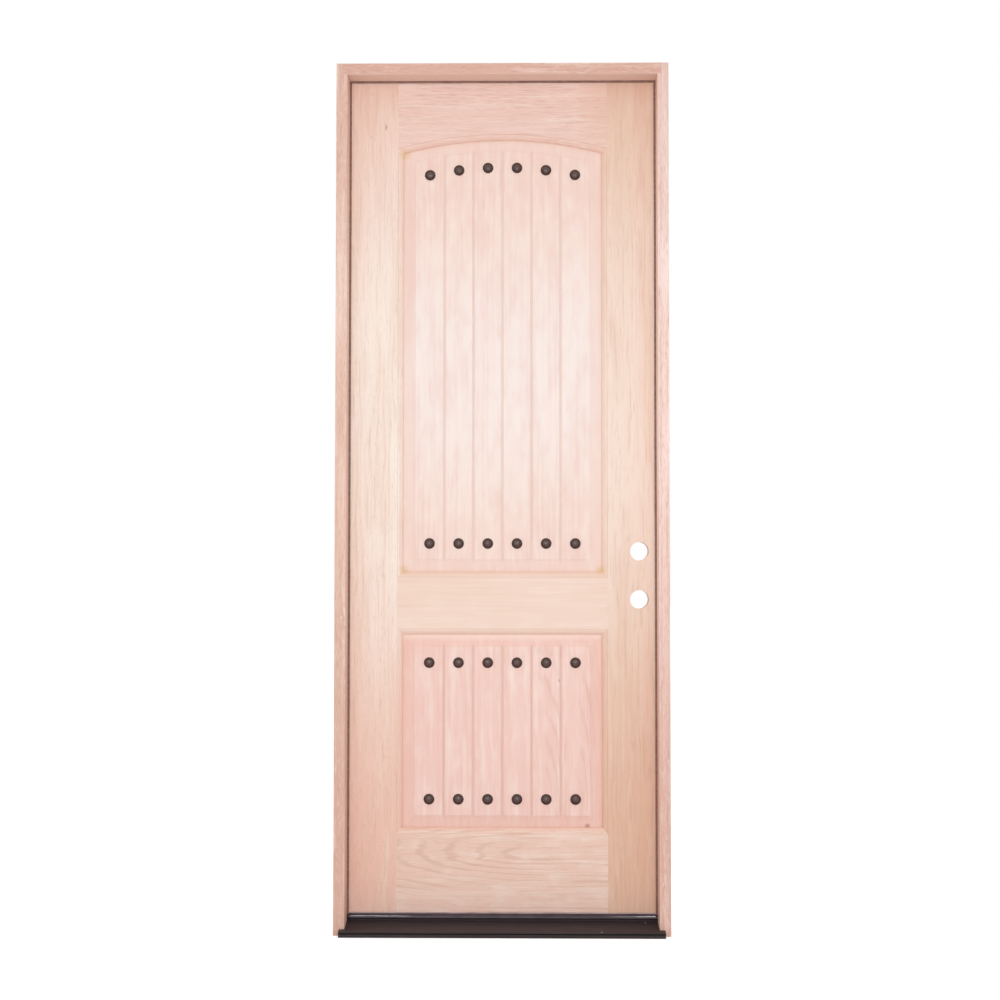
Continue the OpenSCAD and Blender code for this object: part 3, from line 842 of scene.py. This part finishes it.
@dataclass
class Screws:
    """Countersunk screws with a cross recess, in the hinges and the frame's corners."""

    bronze: bpy.types.Material
    zinc: bpy.types.Material
    columns: int = 40
    face_rows: int = 15
    head_r: float = 4.5 * MM
    shank_r: float = 2.3 * MM
    recess_depth: float = 1.5 * MM
    recess_reach: float = 2.9 * MM
    recess_w: float = 1.3 * MM
    # Places on a hinge leaf, as shares of its depth from the inner face and of its height
    leaf_places: tuple[Pair, ...] = ((0.34, 0.14), (0.68, 0.38), (0.34, 0.62), (0.68, 0.86))

    def shape(self, head: Triple, direction: float, length: float) -> Patch:
        """One screw along X: a face with a cross sunk into it, a cone, and a shank with a point.

        The cross is deepest in the middle, and falls off with the distance from it and with the distance
        from the nearer of its two arms.

        Args:
            head: Middle of the head's face.
            direction: Sign of the way along X that the screw is driven.
            length: Whole length.

        Returns:
            The screw's surface.
        """
        cone = self.head_r - self.shank_r
        face_r = np.linspace(0.04, 1.0, self.face_rows) * self.head_r
        face = np.stack([face_r, np.zeros(self.face_rows)], axis=-1)
        body = np.array([[self.shank_r, cone], [self.shank_r, 0.85 * length], [0.1 * self.shank_r, length]])
        grid = revolved(np.concatenate([face, body]), self.columns)
        radius = np.hypot(grid[..., 0], grid[..., 1])
        arm = np.minimum(np.abs(grid[..., 0]), np.abs(grid[..., 1]))
        inside = np.clip(1 - radius / self.recess_reach, 0, 1) * np.clip(2 - 2 * arm / self.recess_w, 0, 1)
        depth = grid[..., 2] + np.where(grid[..., 2] < 1e-9, self.recess_depth * np.sqrt(inside), 0.0)
        return Patch.of(head[0] + direction * depth, head[1] + grid[..., 0], head[2] + grid[..., 1])

    def build(self) -> None:
        """Makes the hinge screws of both leaves and the screws of the frame's corners."""
        inner_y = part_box("hinge_stile")[1].y
        for side, body, direction in (("door", "door", 1.0), ("jamb", "frame", -1.0)):
            node = f"{side}_hinge_screws"
            low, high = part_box(node)
            face_x = low.x if direction > 0 else high.x
            patches = []
            for number in range(1, 5):
                leaf_low, leaf_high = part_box(f"hinge_{number}_{side}_leaf")
                deep, tall = inner_y - leaf_low.y, leaf_high.z - leaf_low.z
                for share_y, share_z in self.leaf_places:
                    place = (face_x, inner_y - share_y * deep, leaf_low.z + share_z * tall)
                    patches.append(self.shape(place, direction, high.x - low.x))
            make_piece(f"{side}_leaf_screws", patches, body, self.bronze, [node])
        for node in ("head_screws", "sill_screws"):
            low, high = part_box(node)
            wide, level = 0.5 * (high.x - low.x), 0.5 * (low.z + high.z)
            length = self._corner_length(node)
            rows = np.linspace(low.y + self.head_r, high.y - self.head_r, 3)
            heads = [(side, y) for side in (-1.0, 1.0) for y in rows]
            patches = [self.shape((side * wide, y, level), -side, length) for side, y in heads]
            make_piece(node.replace("_screws", "_corner_screws"), patches, "frame", self.zinc, [node])

    def _corner_length(self, node: str) -> float:
        """Length of a corner screw, from the points of its solid on the lock side.

        Args:
            node: Solid of the screws.

        Returns:
            The length.
        """
        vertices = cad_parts[node].data.vertices
        points = np.empty(3 * len(vertices))
        vertices.foreach_get("co", points)
        across = points[::3]
        return float(across.max() - across[across > 0].min())


@dataclass
class Weatherstrip:
    """Compression seals of the frame, as soft vinyl sections along a path."""

    finish: bpy.types.Material
    leg_w: float = 2.6 * MM
    barb: float = 0.5 * MM
    barbs: int = 4
    ripple: float = 0.35 * MM
    ripple_l: float = 170.0 * MM
    # Height and length of a second ripple, as shares of the first one's
    second_ripple: Pair = (0.7, 0.37)
    # Share of a seal's depth that is not in the kerf
    body_share: float = 0.37
    stations: int = 160

    def section(self, width: float, thick: float, leg: float) -> np.ndarray:
        """Outline of a seal: a barbed leg for the kerf and a body that ends in a round bulb.

        Args:
            width: Reach of the seal from the wall of the pocket.
            thick: Thickness of the body.
            leg: Length of the leg.

        Returns:
            Distance from the pocket's wall and from the stop of each point.
        """
        steps = np.repeat(np.linspace(0.9, 0.15, self.barbs), 2)
        teeth = np.stack([np.full(len(steps), self.leg_w - self.barb), -leg * steps], axis=-1)
        teeth[::2, 0] += self.barb
        bulb_r, heel_r = 0.5 * thick, 0.3 * thick
        bulb = arc((width - bulb_r, bulb_r), bulb_r, -90, 90, 17)
        inner = arc((heel_r, thick - heel_r), heel_r, 90, 180, 7)
        # A waist before the bulb and a hollow behind it, as shares of the width and the thickness
        waist = np.array([[0.62, 0.0], [0.7, 0.06]]) * [width, thick]
        crown = np.array([[0.72, 0.97], [0.45, 0.92]]) * [width, thick]
        leg_end = np.array([[0.25 * MM, -leg], [self.leg_w * 0.7, -leg]])
        root, heel = [[self.leg_w, 0.0]], [[0.2 * MM, 0.0]]
        return np.concatenate([leg_end, teeth, root, waist, bulb, crown, inner, heel])

    def rippled(self, section: np.ndarray, length: float, width: float) -> tuple[np.ndarray, np.ndarray]:
        """Carries the section along a straight path while its bulb moves in and out by two slow sines.

        Args:
            section: Outline of the seal.
            length: Length of the path.
            width: Reach of the seal.

        Returns:
            Grid of the section's two values, and the distance along the path of each row.
        """
        run = np.linspace(0, length, self.stations)
        turn = 2 * math.pi * run / self.ripple_l
        height, pace = self.second_ripple
        wave = np.sin(turn) + height * np.sin(turn / pace + 1)
        share = np.clip((section[:, 0] / width - 0.5) * 2, 0, 1)
        grid = np.broadcast_to(section, (self.stations, *section.shape)).copy()
        grid[..., 0] -= 0.5 * self.ripple * share * (1 + wave[:, None] / (1 + height))
        return grid, run

    def strip(self, side: str, sign: float, wall: float) -> None:
        """Makes one seal in the place of its solid: the section carried up a jamb or along the head.

        Args:
            side: Board that the seal sits in, by the first words of the solid's name.
            sign: Side of the door that the wall is on; the head counts as positive.
            wall: Distance of the pocket's wall from the middle of the door, or its height.
        """
        upright = side != "head"
        low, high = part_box(side + "_seal")
        kerf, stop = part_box("strike_jamb_seal")
        thick = self.body_share * (high.y - low.y)
        start, end = (low.z, high.z) if upright else (low.x, high.x)
        near = (low.x if sign > 0 else -high.x) if upright else low.z
        section = self.section(wall - near, thick, stop.y - thick - kerf.y)
        grid, run = self.rippled(section, end - start, wall - near)
        across, along = sign * (wall - grid[..., 0]), (start + run)[:, None]
        x, z = (across, along) if upright else (along, across)
        patch = Patch.of(x, stop.y - thick + grid[..., 1], z)
        make_piece(side + "_weatherstrip", [patch], "frame", self.finish, [side + "_seal"])

    def build(self) -> None:
        """Makes the two side seals and the head seal."""
        wall_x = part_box("head_jamb")[1].x
        wall_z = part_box("head_jamb")[1].z - (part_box("strike_jamb")[1].x - wall_x)
        seals = (("strike_jamb", 1.0, wall_x), ("hinge_jamb", -1.0, wall_x), ("head", 1.0, wall_z))
        for side, sign, wall in seals:
            self.strip(side, sign, wall)


@dataclass
class DoorSweep:
    """Vinyl sweep under the slab: a base with two barbs above it and thin bent fins below it."""

    finish: bpy.types.Material
    base_t: float = 2.0 * MM
    fin_t: float = 1.5 * MM
    bend: float = 1.2 * MM
    barb_w: float = 2.4 * MM
    stations: int = 120
    # Places of the fins and the barbs, as shares of the depth
    fins: tuple[float, ...] = (0.0, 0.31, 0.62, 0.93)
    barbs: tuple[float, ...] = (0.24, 0.76)

    def section(self, low: Vector, high: Vector, base_z: float) -> np.ndarray:
        """Outline of the sweep, fin by fin along its underside and then barb by barb along its top.

        Args:
            low: Lower corner of the solid's box.
            high: Upper corner of the solid's box.
            base_z: Height of the slab's underside.

        Returns:
            Y and Z of each point.
        """
        deep = high.y - low.y
        under = base_z - self.base_t
        tip_r = 0.5 * self.fin_t
        points = []
        for share in self.fins:
            y = low.y + share * deep
            tip = arc((y + self.bend + tip_r, low.z + tip_r), tip_r, 180, 360, 7)
            points += [[[y, under]], tip, [[y + self.fin_t, under]]]
        points.append([[high.y, under], [high.y, base_z]])
        # One side of a barb with its two teeth, as shares of its half width and of its height
        teeth = np.array([[0.6, 0.0], [0.6, 0.35], [1.0, 0.35], [0.5, 0.62], [1.0, 0.62], [0.3, 1.0]])
        teeth *= [0.5 * self.barb_w, high.z - base_z]
        barb = np.concatenate([teeth, teeth[::-1] * [-1, 1]])
        points += [barb + [low.y + share * deep, base_z] for share in reversed(self.barbs)]
        points.append([[low.y, base_z]])
        return np.concatenate(points)

    def build(self) -> None:
        """Carries the section along X in the place of the solid."""
        low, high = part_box("door_sweep")
        section = self.section(low, high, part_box("bottom_rail")[0].z)
        x = np.linspace(low.x, high.x, self.stations)[:, None]
        patch = Patch.of(x, section[:, 0], section[:, 1])
        make_piece("finned_door_sweep", [patch], "door", self.finish, ["door_sweep"])


@dataclass
class ThresholdCap:
    """Dark glossy cap under the slab, with a soft round front that waves a little near its ends."""

    finish: bpy.types.Material
    stations: int = 420
    wave: float = 0.9 * MM
    # Lengths of the two sines that sway the front, over one turn of a radian, and height of the quick one
    sway_l: Pair = (31.0 * MM, 13.0 * MM)
    quick_sway: float = 0.6
    groove: float = 0.8 * MM
    grooves: int = 7
    back_r: float = 1.0 * MM
    foot_r: float = 2.2 * MM
    face_r: float = 26.0 * MM
    lean_deg: Pair = (10.0, 32.0)

    def section(self, deep: float, thick: float) -> np.ndarray:
        """Outline of the cap: flat base, square back, grooved top and a front of three rounds.

        The front turns from facing down to facing up. Its radius is small at the base, large over the
        leaning face in the middle and small again at the top, where it meets the cap's whole height.

        Args:
            deep: Depth of the cap from front to back.
            thick: Thickness of the cap.

        Returns:
            Distance from the front and from the base of each point.
        """
        turn = np.radians([-90.0, self.lean_deg[0], self.lean_deg[1], 90.0])
        rise = np.diff(np.sin(turn))
        radii = np.array([self.foot_r, self.face_r, 0.0])
        radii[2] = (thick - rise[:2] @ radii[:2]) / rise[2]
        angle = np.linspace(turn[0], turn[3], 61)
        middle = 0.5 * (angle[1:] + angle[:-1])
        step = np.diff(angle) * radii[np.searchsorted(turn[1:3], middle)]
        y = np.concatenate([[0.0], np.cumsum(step * np.sin(middle))])
        z = np.concatenate([[0.0], np.cumsum(step * np.cos(middle))])
        front = np.stack([y - y.min(), z * thick / z[-1]], axis=-1)
        back = arc((deep - self.back_r, thick - self.back_r), self.back_r, 90, 0, 5)
        share = np.linspace(0.25, 0.9, 40)
        dip = np.clip(np.sin(2 * math.pi * self.grooves * share), 0, 1) ** 2
        top = np.stack([share * deep, thick - self.groove * dip], axis=-1)
        base = np.array([[deep, 0.0], [0.5 * deep, 0.0]])
        return np.concatenate([front, top, back, base])

    def build(self) -> None:
        """Makes the cap in the place of its solid.

        The front edge is pushed back by two sines along X, which are strongest near the ends.
        """
        low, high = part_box("threshold_cap")
        section = self.section(high.y - low.y, high.z - low.z)
        x = np.linspace(low.x, high.x, self.stations)
        share = np.abs(x) / high.x
        slow, quick = self.sway_l
        sway = np.sin(x / slow + 1.2) + self.quick_sway * np.sin(x / quick)
        push = 0.5 * self.wave * (0.25 + 0.75 * share ** 4) * (1 + sway / (1 + self.quick_sway))
        near = np.clip(1 - section[:, 0] / (0.5 * (high.z - low.z)), 0, 1)
        across = low.y + section[:, 0] + push[:, None] * near
        patch = Patch.of(x[:, None], across, low.z + section[:, 1])
        make_piece("threshold_bulb_cap", [patch], "frame", self.finish, ["threshold_cap"])


class Board(Enum):
    """Tones of the boards, as the pale, deep and end colours; the end colour is what the painted pool of
    light falls off to.
    """

    UPPER_PLANK = ("#F8EAE4", "#F7E4DD", "#F5D5C8")
    LOWER_PLANK = ("#F8D7CD", "#F4CDC2", "#F4CDC2")
    HINGE_STILE = ("#FBEFE4", "#F8E6D8", "#F0C6B4")
    LOCK_STILE = ("#F7E2D3", "#F3D8C7", "#E5BBA1")
    TOP_RAIL = ("#F8DACF", "#F5D3C7", "#F1CEC1")
    LOCK_RAIL = ("#F5DBCB", "#F2D6C5", "#F3D8C8")
    BOTTOM_RAIL = ("#F5D6C4", "#EBC6B3", "#F0CEBD")
    HINGE_JAMB = ("#EDC9B9", "#E6BEAC", "#DDB2A1")
    STRIKE_JAMB = ("#FCE3DC", "#FADAD0", "#E3B9AB")
    HEAD_JAMB = ("#E4B6A5", "#DCAD9C", "#DFB0A0")


# A moulding has a thin painted shade line in its quirk, a pinker tone on its face and a soft painted shade
# line along its foot
MOULDING_TONE_AND_SHADE = (Band(21.12, 21.02, 20.85, "#D3A78F", 0.5), Band(21.0, 19.6, 0.0, "#EDBCA8", 0.26),
           Band(15.0, 12.6, 0.0, "#CD9F87", 0.2))
# Glue size has left yellow stains in three corners of the upper panel
GLUE = tuple(Mark(x, z, 44, 38, "#E4BE80", 0.4) for x, z in ((-286, 1034), (286, 1034), (-286, 2252)))


@dataclass
class Woodwork:
    """Boards of the slab and the frame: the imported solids, each with its own piece of wood."""

    planks: int = 6

    def wood(self, node: str, board: Board, grain: Grain, seed: int, **choices: object) -> None:
        """Dresses one board.

        Args:
            node: Solid of the board.
            board: Tone of the board.
            grain: Direction of its grain.
            seed: Number that picks the part of the tree that it was cut from.
            **choices: Further choices of the finish.
        """
        pale, deep, ends = board.value
        finish = RawMahogany(f"raw_mahogany_{node}", pale, deep, ends, grain, seed, **choices)
        dress(node, finish.build())
        log.info("%s: raw mahogany, grain %s", node, grain.name.lower())

    def build(self) -> None:
        """Dresses the frame, the stiles and rails, and the planks."""
        self.frame_boards()
        self.slab_boards()
        for number in range(1, self.planks + 1):
            self.plank(number)

    def frame_boards(self) -> None:
        """Dresses the jambs, whose planed faces show more vessels and short fibres."""
        rough = {"pores": 0.35, "streaks": 0.3, "figure": 0.25, "fibre": 0.3, "fibre_mm": (3.0, 22.0)}
        self.wood("hinge_jamb", Board.HINGE_JAMB, Grain.UPRIGHT, 1, **rough)
        self.wood("strike_jamb", Board.STRIKE_JAMB, Grain.UPRIGHT, 2, **rough)
        # The underside of the head's stop is painted paler than its face, as painted light from below
        lit_underside = Mark(0, 2466, 6000, 3, "#E8C7B8", 1.0)
        self.wood("head_jamb", Board.HEAD_JAMB, Grain.LEVEL, 3, marks=(lit_underside,), **rough)

    def slab_boards(self) -> None:
        """Dresses the stiles and rails, with the figure that each shows."""
        # The stiles' painted pool of light peaks at 1480 mm
        stile = {"bands": MOULDING_TONE_AND_SHADE, "mottle": 0.1, "heart_mm": 1480.0}
        knot = Mark(-341, 2331, 9, 26, "#B07C68", 0.6)
        self.wood("hinge_stile", Board.HINGE_STILE, Grain.UPRIGHT, 4, sway_mm=50.0, ribbon=0.24, streaks=0.26,
                  pores=0.22, marks=(knot, *GLUE), **stile)
        self.wood("lock_stile", Board.LOCK_STILE, Grain.UPRIGHT, 5, sway_mm=60.0, ribbon=0.16, streaks=0.3,
                  pores=0.12, bright="#F9E6D6", marks=GLUE, **stile)
        # The top rail is tanner at its end next to the lock stile
        tan_end = Mark(300, 2400, 200, 400, "#EBC0AC", 0.5)
        # The top rail's painted pool of light sits at its top edge and falls off within 110 mm: painted light
        # where the head's stop shades the rail
        self.wood("top_rail", Board.TOP_RAIL, Grain.LEVEL, 6, bands=MOULDING_TONE_AND_SHADE, fibre=0.34, fibre_mm=(2.6, 42.0),
                  pith_mm=2900.0, marks=(tan_end, *GLUE), heart_mm=2476.0, reach_mm=110.0)
        self.wood("lock_rail", Board.LOCK_RAIL, Grain.LEVEL, 7, bands=MOULDING_TONE_AND_SHADE, ribbon=0.2, streaks=0.06,
                  pores=0.04, figure=0.06, mottle=0.12, pith_mm=700.0, marks=GLUE)
        self.wood("bottom_rail", Board.BOTTOM_RAIL, Grain.LEVEL, 8, bands=MOULDING_TONE_AND_SHADE, figure=0.34, pores=0.2,
                  streaks=0.22, mottle=0.3, ring_mm=15.0, pith_mm=226.0, taper=0.2, surfaced_mm=-60.0,
                  sway_mm=26.0)

    def field(self, panel: str, radius: float) -> Field:
        """Raised field of a panel, from the box of a plank in its middle."""
        low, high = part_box(f"{panel}_plank_{self.planks // 2}")
        return Field(2 * FIELD_X / self.planks, low.z / MM + PANEL_EDGE, high.z / MM - PANEL_EDGE, radius)

    def plank(self, number: int) -> None:
        """Dresses one plank of each panel; bevels are pinker than the field, and the V-grooves and the
        field's shoulder get painted shade lines.

        Args:
            number: Number of the plank, from the hinge side.
        """
        # Each panel's first band makes the bevelled border pinker; the second is a painted shade line along
        # the field's shoulder
        upper = (Band(15.65, 14.9, 0.0, "#F5DACE", 0.5), Band(15.9, 15.6, 15.2, "#E5B9AA", 0.22))
        lower = (Band(15.65, 14.9, 0.0, "#EFC3B4", 0.48), Band(15.9, 15.6, 15.2, "#DCA897", 0.25))
        # The border next to the hinge stile is pinker
        flush = Mark(-271, 1950, 44, 800, "#EDBDB0", 0.32)
        self.wood(f"upper_plank_{number}", Board.UPPER_PLANK, Grain.UPRIGHT, 20 + number, bands=upper,
                  field=self.field("upper", ARCH_R), joint="#EADBD3", marks=(flush, *GLUE), reach_mm=700.0,
                  ribbon=0.26, streaks=0.06, pores=0.04, figure=0.08, mottle=0.36)
        # The two planks next to the lock stile are cut nearer the pith and show slanted rings
        slanted = {
            5: {"figure": 0.2, "ring_mm": 19.0, "pith_mm": 95.0, "taper": 0.22, "surfaced_mm": 250.0},
            6: {"figure": 0.22, "ring_mm": 17.0, "pith_mm": 205.0, "taper": 0.16, "surfaced_mm": 380.0},
        }
        # Two knots, a crack beside the lower one, and a pale stretch of painted light along the bevel under
        # the lock rail
        knots_and_lit_bevel = (Mark(246, 297, 22, 19, "#A8705E", 0.6), Mark(226, 290, 70, 7, "#A8705E", 0.45),
                 Mark(165, 716, 9, 15, "#B98C7A", 0.5), Mark(0, 851, 1500, 50, "#FCE2D6", 0.75))
        self.wood(f"lower_plank_{number}", Board.LOWER_PLANK, Grain.UPRIGHT, 30 + number, bands=lower,
                  field=self.field("lower", STRAIGHT), marks=knots_and_lit_bevel, streaks=0.09, pores=0.06, mottle=0.3,
                  **slanted.get(number, {"figure": 0.08}))


@dataclass
class Metalwork:
    """Hinges, sill and hidden pieces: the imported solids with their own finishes."""

    bronze: bpy.types.Material
    sill: bpy.types.Material
    core: bpy.types.Material
    beech: bpy.types.Material

    def build(self) -> None:
        """Dresses each solid."""
        for number in range(1, 5):
            for part in ("jamb_leaf", "door_leaf", "pin"):
                dress(f"hinge_{number}_{part}", self.bronze)
        dress("sill_deck", self.sill)
        dress("sill_core", self.core)
        dress("rail_dowels", self.beech)
        log.info("hinges, sill and dowels dressed")


@dataclass
class Studio:
    """Camera at the photograph's place, soft frontal light and a white floor that keeps a shadow."""

    camera_at: Triple = (0.0509, -4.600, 1.0702)
    pitch_deg: float = 2.086
    yaw_deg: float = 0.717
    roll_deg: float = 0.03
    focal_px: float = 1590.4
    frame_px: float = 1000.0
    sensor_mm: float = 36.0
    ambient: float = 0.81
    floor_glow: float = 0.5
    floor_half: float = 30.0
    # Point that the lamps face
    aim: Triple = (0.0, 0.0, 1.2)

    def build(self) -> None:
        """Sets the view transform and makes the camera, the world, the lamps and the floor."""
        bpy.context.scene.view_settings.view_transform = "Standard"
        self.camera()
        self.world()
        self.lamp("key", (-0.1, -4.4, 0.8), size=3.4, watts=33.5)
        self.lamp("left_softbox", (-0.68, -3.3, 1.8), size=0.2, watts=8.0)
        self.lamp("right_softbox", (0.72, -3.3, 1.8), size=0.2, watts=8.0)
        self.lamp("back_fill", (0.8, 3.6, 2.0), size=2.4, watts=18.0)
        self.floor()
        log.info("studio ready")

    def camera(self) -> None:
        """Places the camera by its yaw, pitch and roll."""
        data = bpy.data.cameras.new("camera")
        data.sensor_width = self.sensor_mm
        data.lens = self.sensor_mm * self.focal_px / self.frame_px
        camera = bpy.data.objects.new("camera", data)
        yaw = Matrix.Rotation(math.radians(self.yaw_deg), 4, "Z")
        pitch = Matrix.Rotation(math.radians(90 + self.pitch_deg), 4, "X")
        roll = Matrix.Rotation(math.radians(self.roll_deg), 4, "Z")
        camera.matrix_world = Matrix.Translation(self.camera_at) @ yaw @ pitch @ roll
        bpy.context.scene.collection.objects.link(camera)
        bpy.context.scene.camera = camera

    def world(self) -> None:
        """White for the camera and for reflections, and a softer white as light."""
        world = bpy.data.worlds.new("studio")
        world.use_nodes = True
        tree = world.node_tree
        tree.nodes.clear()
        rays = add_node(tree, "LightPath").node.outputs
        seen = rays["Is Camera Ray"]
        for ray in ("Is Glossy Ray", "Is Transmission Ray"):
            seen = add_node(tree, "Math", {"operation": "MAXIMUM", 0: seen, 1: rays[ray]})
        strength = masked(tree, Rise(seen, 0.0, 1.0, 1.0, self.ambient))
        sky = add_node(tree, "Background", {"Color": WHITE, "Strength": strength})
        add_node(tree, "OutputWorld", {"Surface": sky})
        bpy.context.scene.world = world

    def lamp(self, name: str, at: Triple, size: float, watts: float) -> None:
        """Makes one square soft light.

        Args:
            name: Name of the lamp.
            at: Place of the lamp.
            size: Side of the square.
            watts: Power.
        """
        data = bpy.data.lights.new(name, "AREA")
        data.size = size
        data.energy = watts
        lamp = bpy.data.objects.new(name, data)
        lamp.location = at
        lamp.rotation_euler = (Vector(self.aim) - Vector(at)).to_track_quat("-Z", "Y").to_euler()
        lamp.visible_camera = False
        bpy.context.scene.collection.objects.link(lamp)

    def floor(self) -> None:
        """Large white floor that the camera sees as white where no shadow falls."""
        half = self.floor_half
        mesh = bpy.data.meshes.new("floor")
        corners = [(-half, -half, 0.0), (half, -half, 0.0), (half, half, 0.0), (-half, half, 0.0)]
        mesh.from_pydata(corners, [], [(0, 1, 2, 3)])
        material = bpy.data.materials.new("studio_floor")
        material.use_nodes = True
        tree = material.node_tree
        tree.nodes.clear()
        seen = add_node(tree, "LightPath", output="Is Camera Ray")
        paper = add_node(tree, "BsdfDiffuse", {"Color": linear("#E6E6E6")})
        lift = masked(tree, Rise(seen, 0.0, 1.0, self.floor_glow))
        glow = add_node(tree, "Emission", {"Color": WHITE, "Strength": lift})
        both = add_node(tree, "AddShader", {0: paper, 1: glow})
        add_node(tree, "OutputMaterial", {"Surface": both})
        mesh.materials.append(material)
        floor = bpy.data.objects.new("floor", mesh)
        bpy.context.scene.collection.objects.link(floor)


def main() -> None:
    """Builds the door's looks, piece by piece."""
    logging.basicConfig(level=logging.INFO, format="%(name)s: %(message)s")
    bronze = BrushedMetal("bronzed_steel_hinge", "#3B3029", "#2A221D", line_mm=(0.6, 0.6, 9.0),
                          metallic=0.85, roughness=0.38).build()
    zinc = BrushedMetal("zinc_plated_screw", "#C9C7BE", "#AFAEA8", line_mm=(0.8, 0.8, 3.0),
                        metallic=1.0, roughness=0.32).build()
    # Painted shade lies in the step under the nose's lip and in the gap under the cap's front
    sill = BrushedMetal("bronze_anodised_sill", "#453B3D", "#383030", line_mm=(160.0, 1.2, 1.2),
                        metallic=0.2, roughness=0.5, flecks=((411.0, 4.0, 5.0), (282.0, -76.0, 5.0)),
                        shaded_steps_mm=((9.1, 11.6), (31.6, 36.0)), specular=0.2).build()
    core = PlainTimber("pressed_sill_composite", "#BFA27E", "#9C7F5C", fleck_mm=(5.0, 2.0, 2.0)).build()
    beech = PlainTimber("turned_beech_dowel", "#DDC29B", "#C9A878", fleck_mm=(14.0, 1.0, 1.0)).build()
    vinyl = ExtrudedVinyl("glossy_vinyl_cap", "#4A3A40", "#3B2E33", roughness=0.1, wave_mm=60.0,
                          specular=0.3).build()
    # The sweep's pale mauve is painted light: it stands in for a lit strip under the slab's bottom edge
    fins = ExtrudedVinyl("sweep_vinyl_painted_light", "#D9C0BE", "#C4A9A8", roughness=0.25, wave_mm=40.0).build()
    foam = ExtrudedVinyl("vinyl_skinned_seal", "#967165", "#805D51", roughness=0.55, wave_mm=25.0).build()
    iron = PatinatedIron("hammered_iron_patina", "#391C13", "#5C4641", crown_mm=(14.2, 9.7)).build()
    Studio().build()
    Woodwork().build()
    Metalwork(bronze, sill, core, beech).build()
    NailHeads(iron).build()
    Screws(bronze, zinc).build()
    Weatherstrip(foam).build()
    DoorSweep(fins).build()
    ThresholdCap(vinyl).build()


if __name__ == "__main__":
    main()
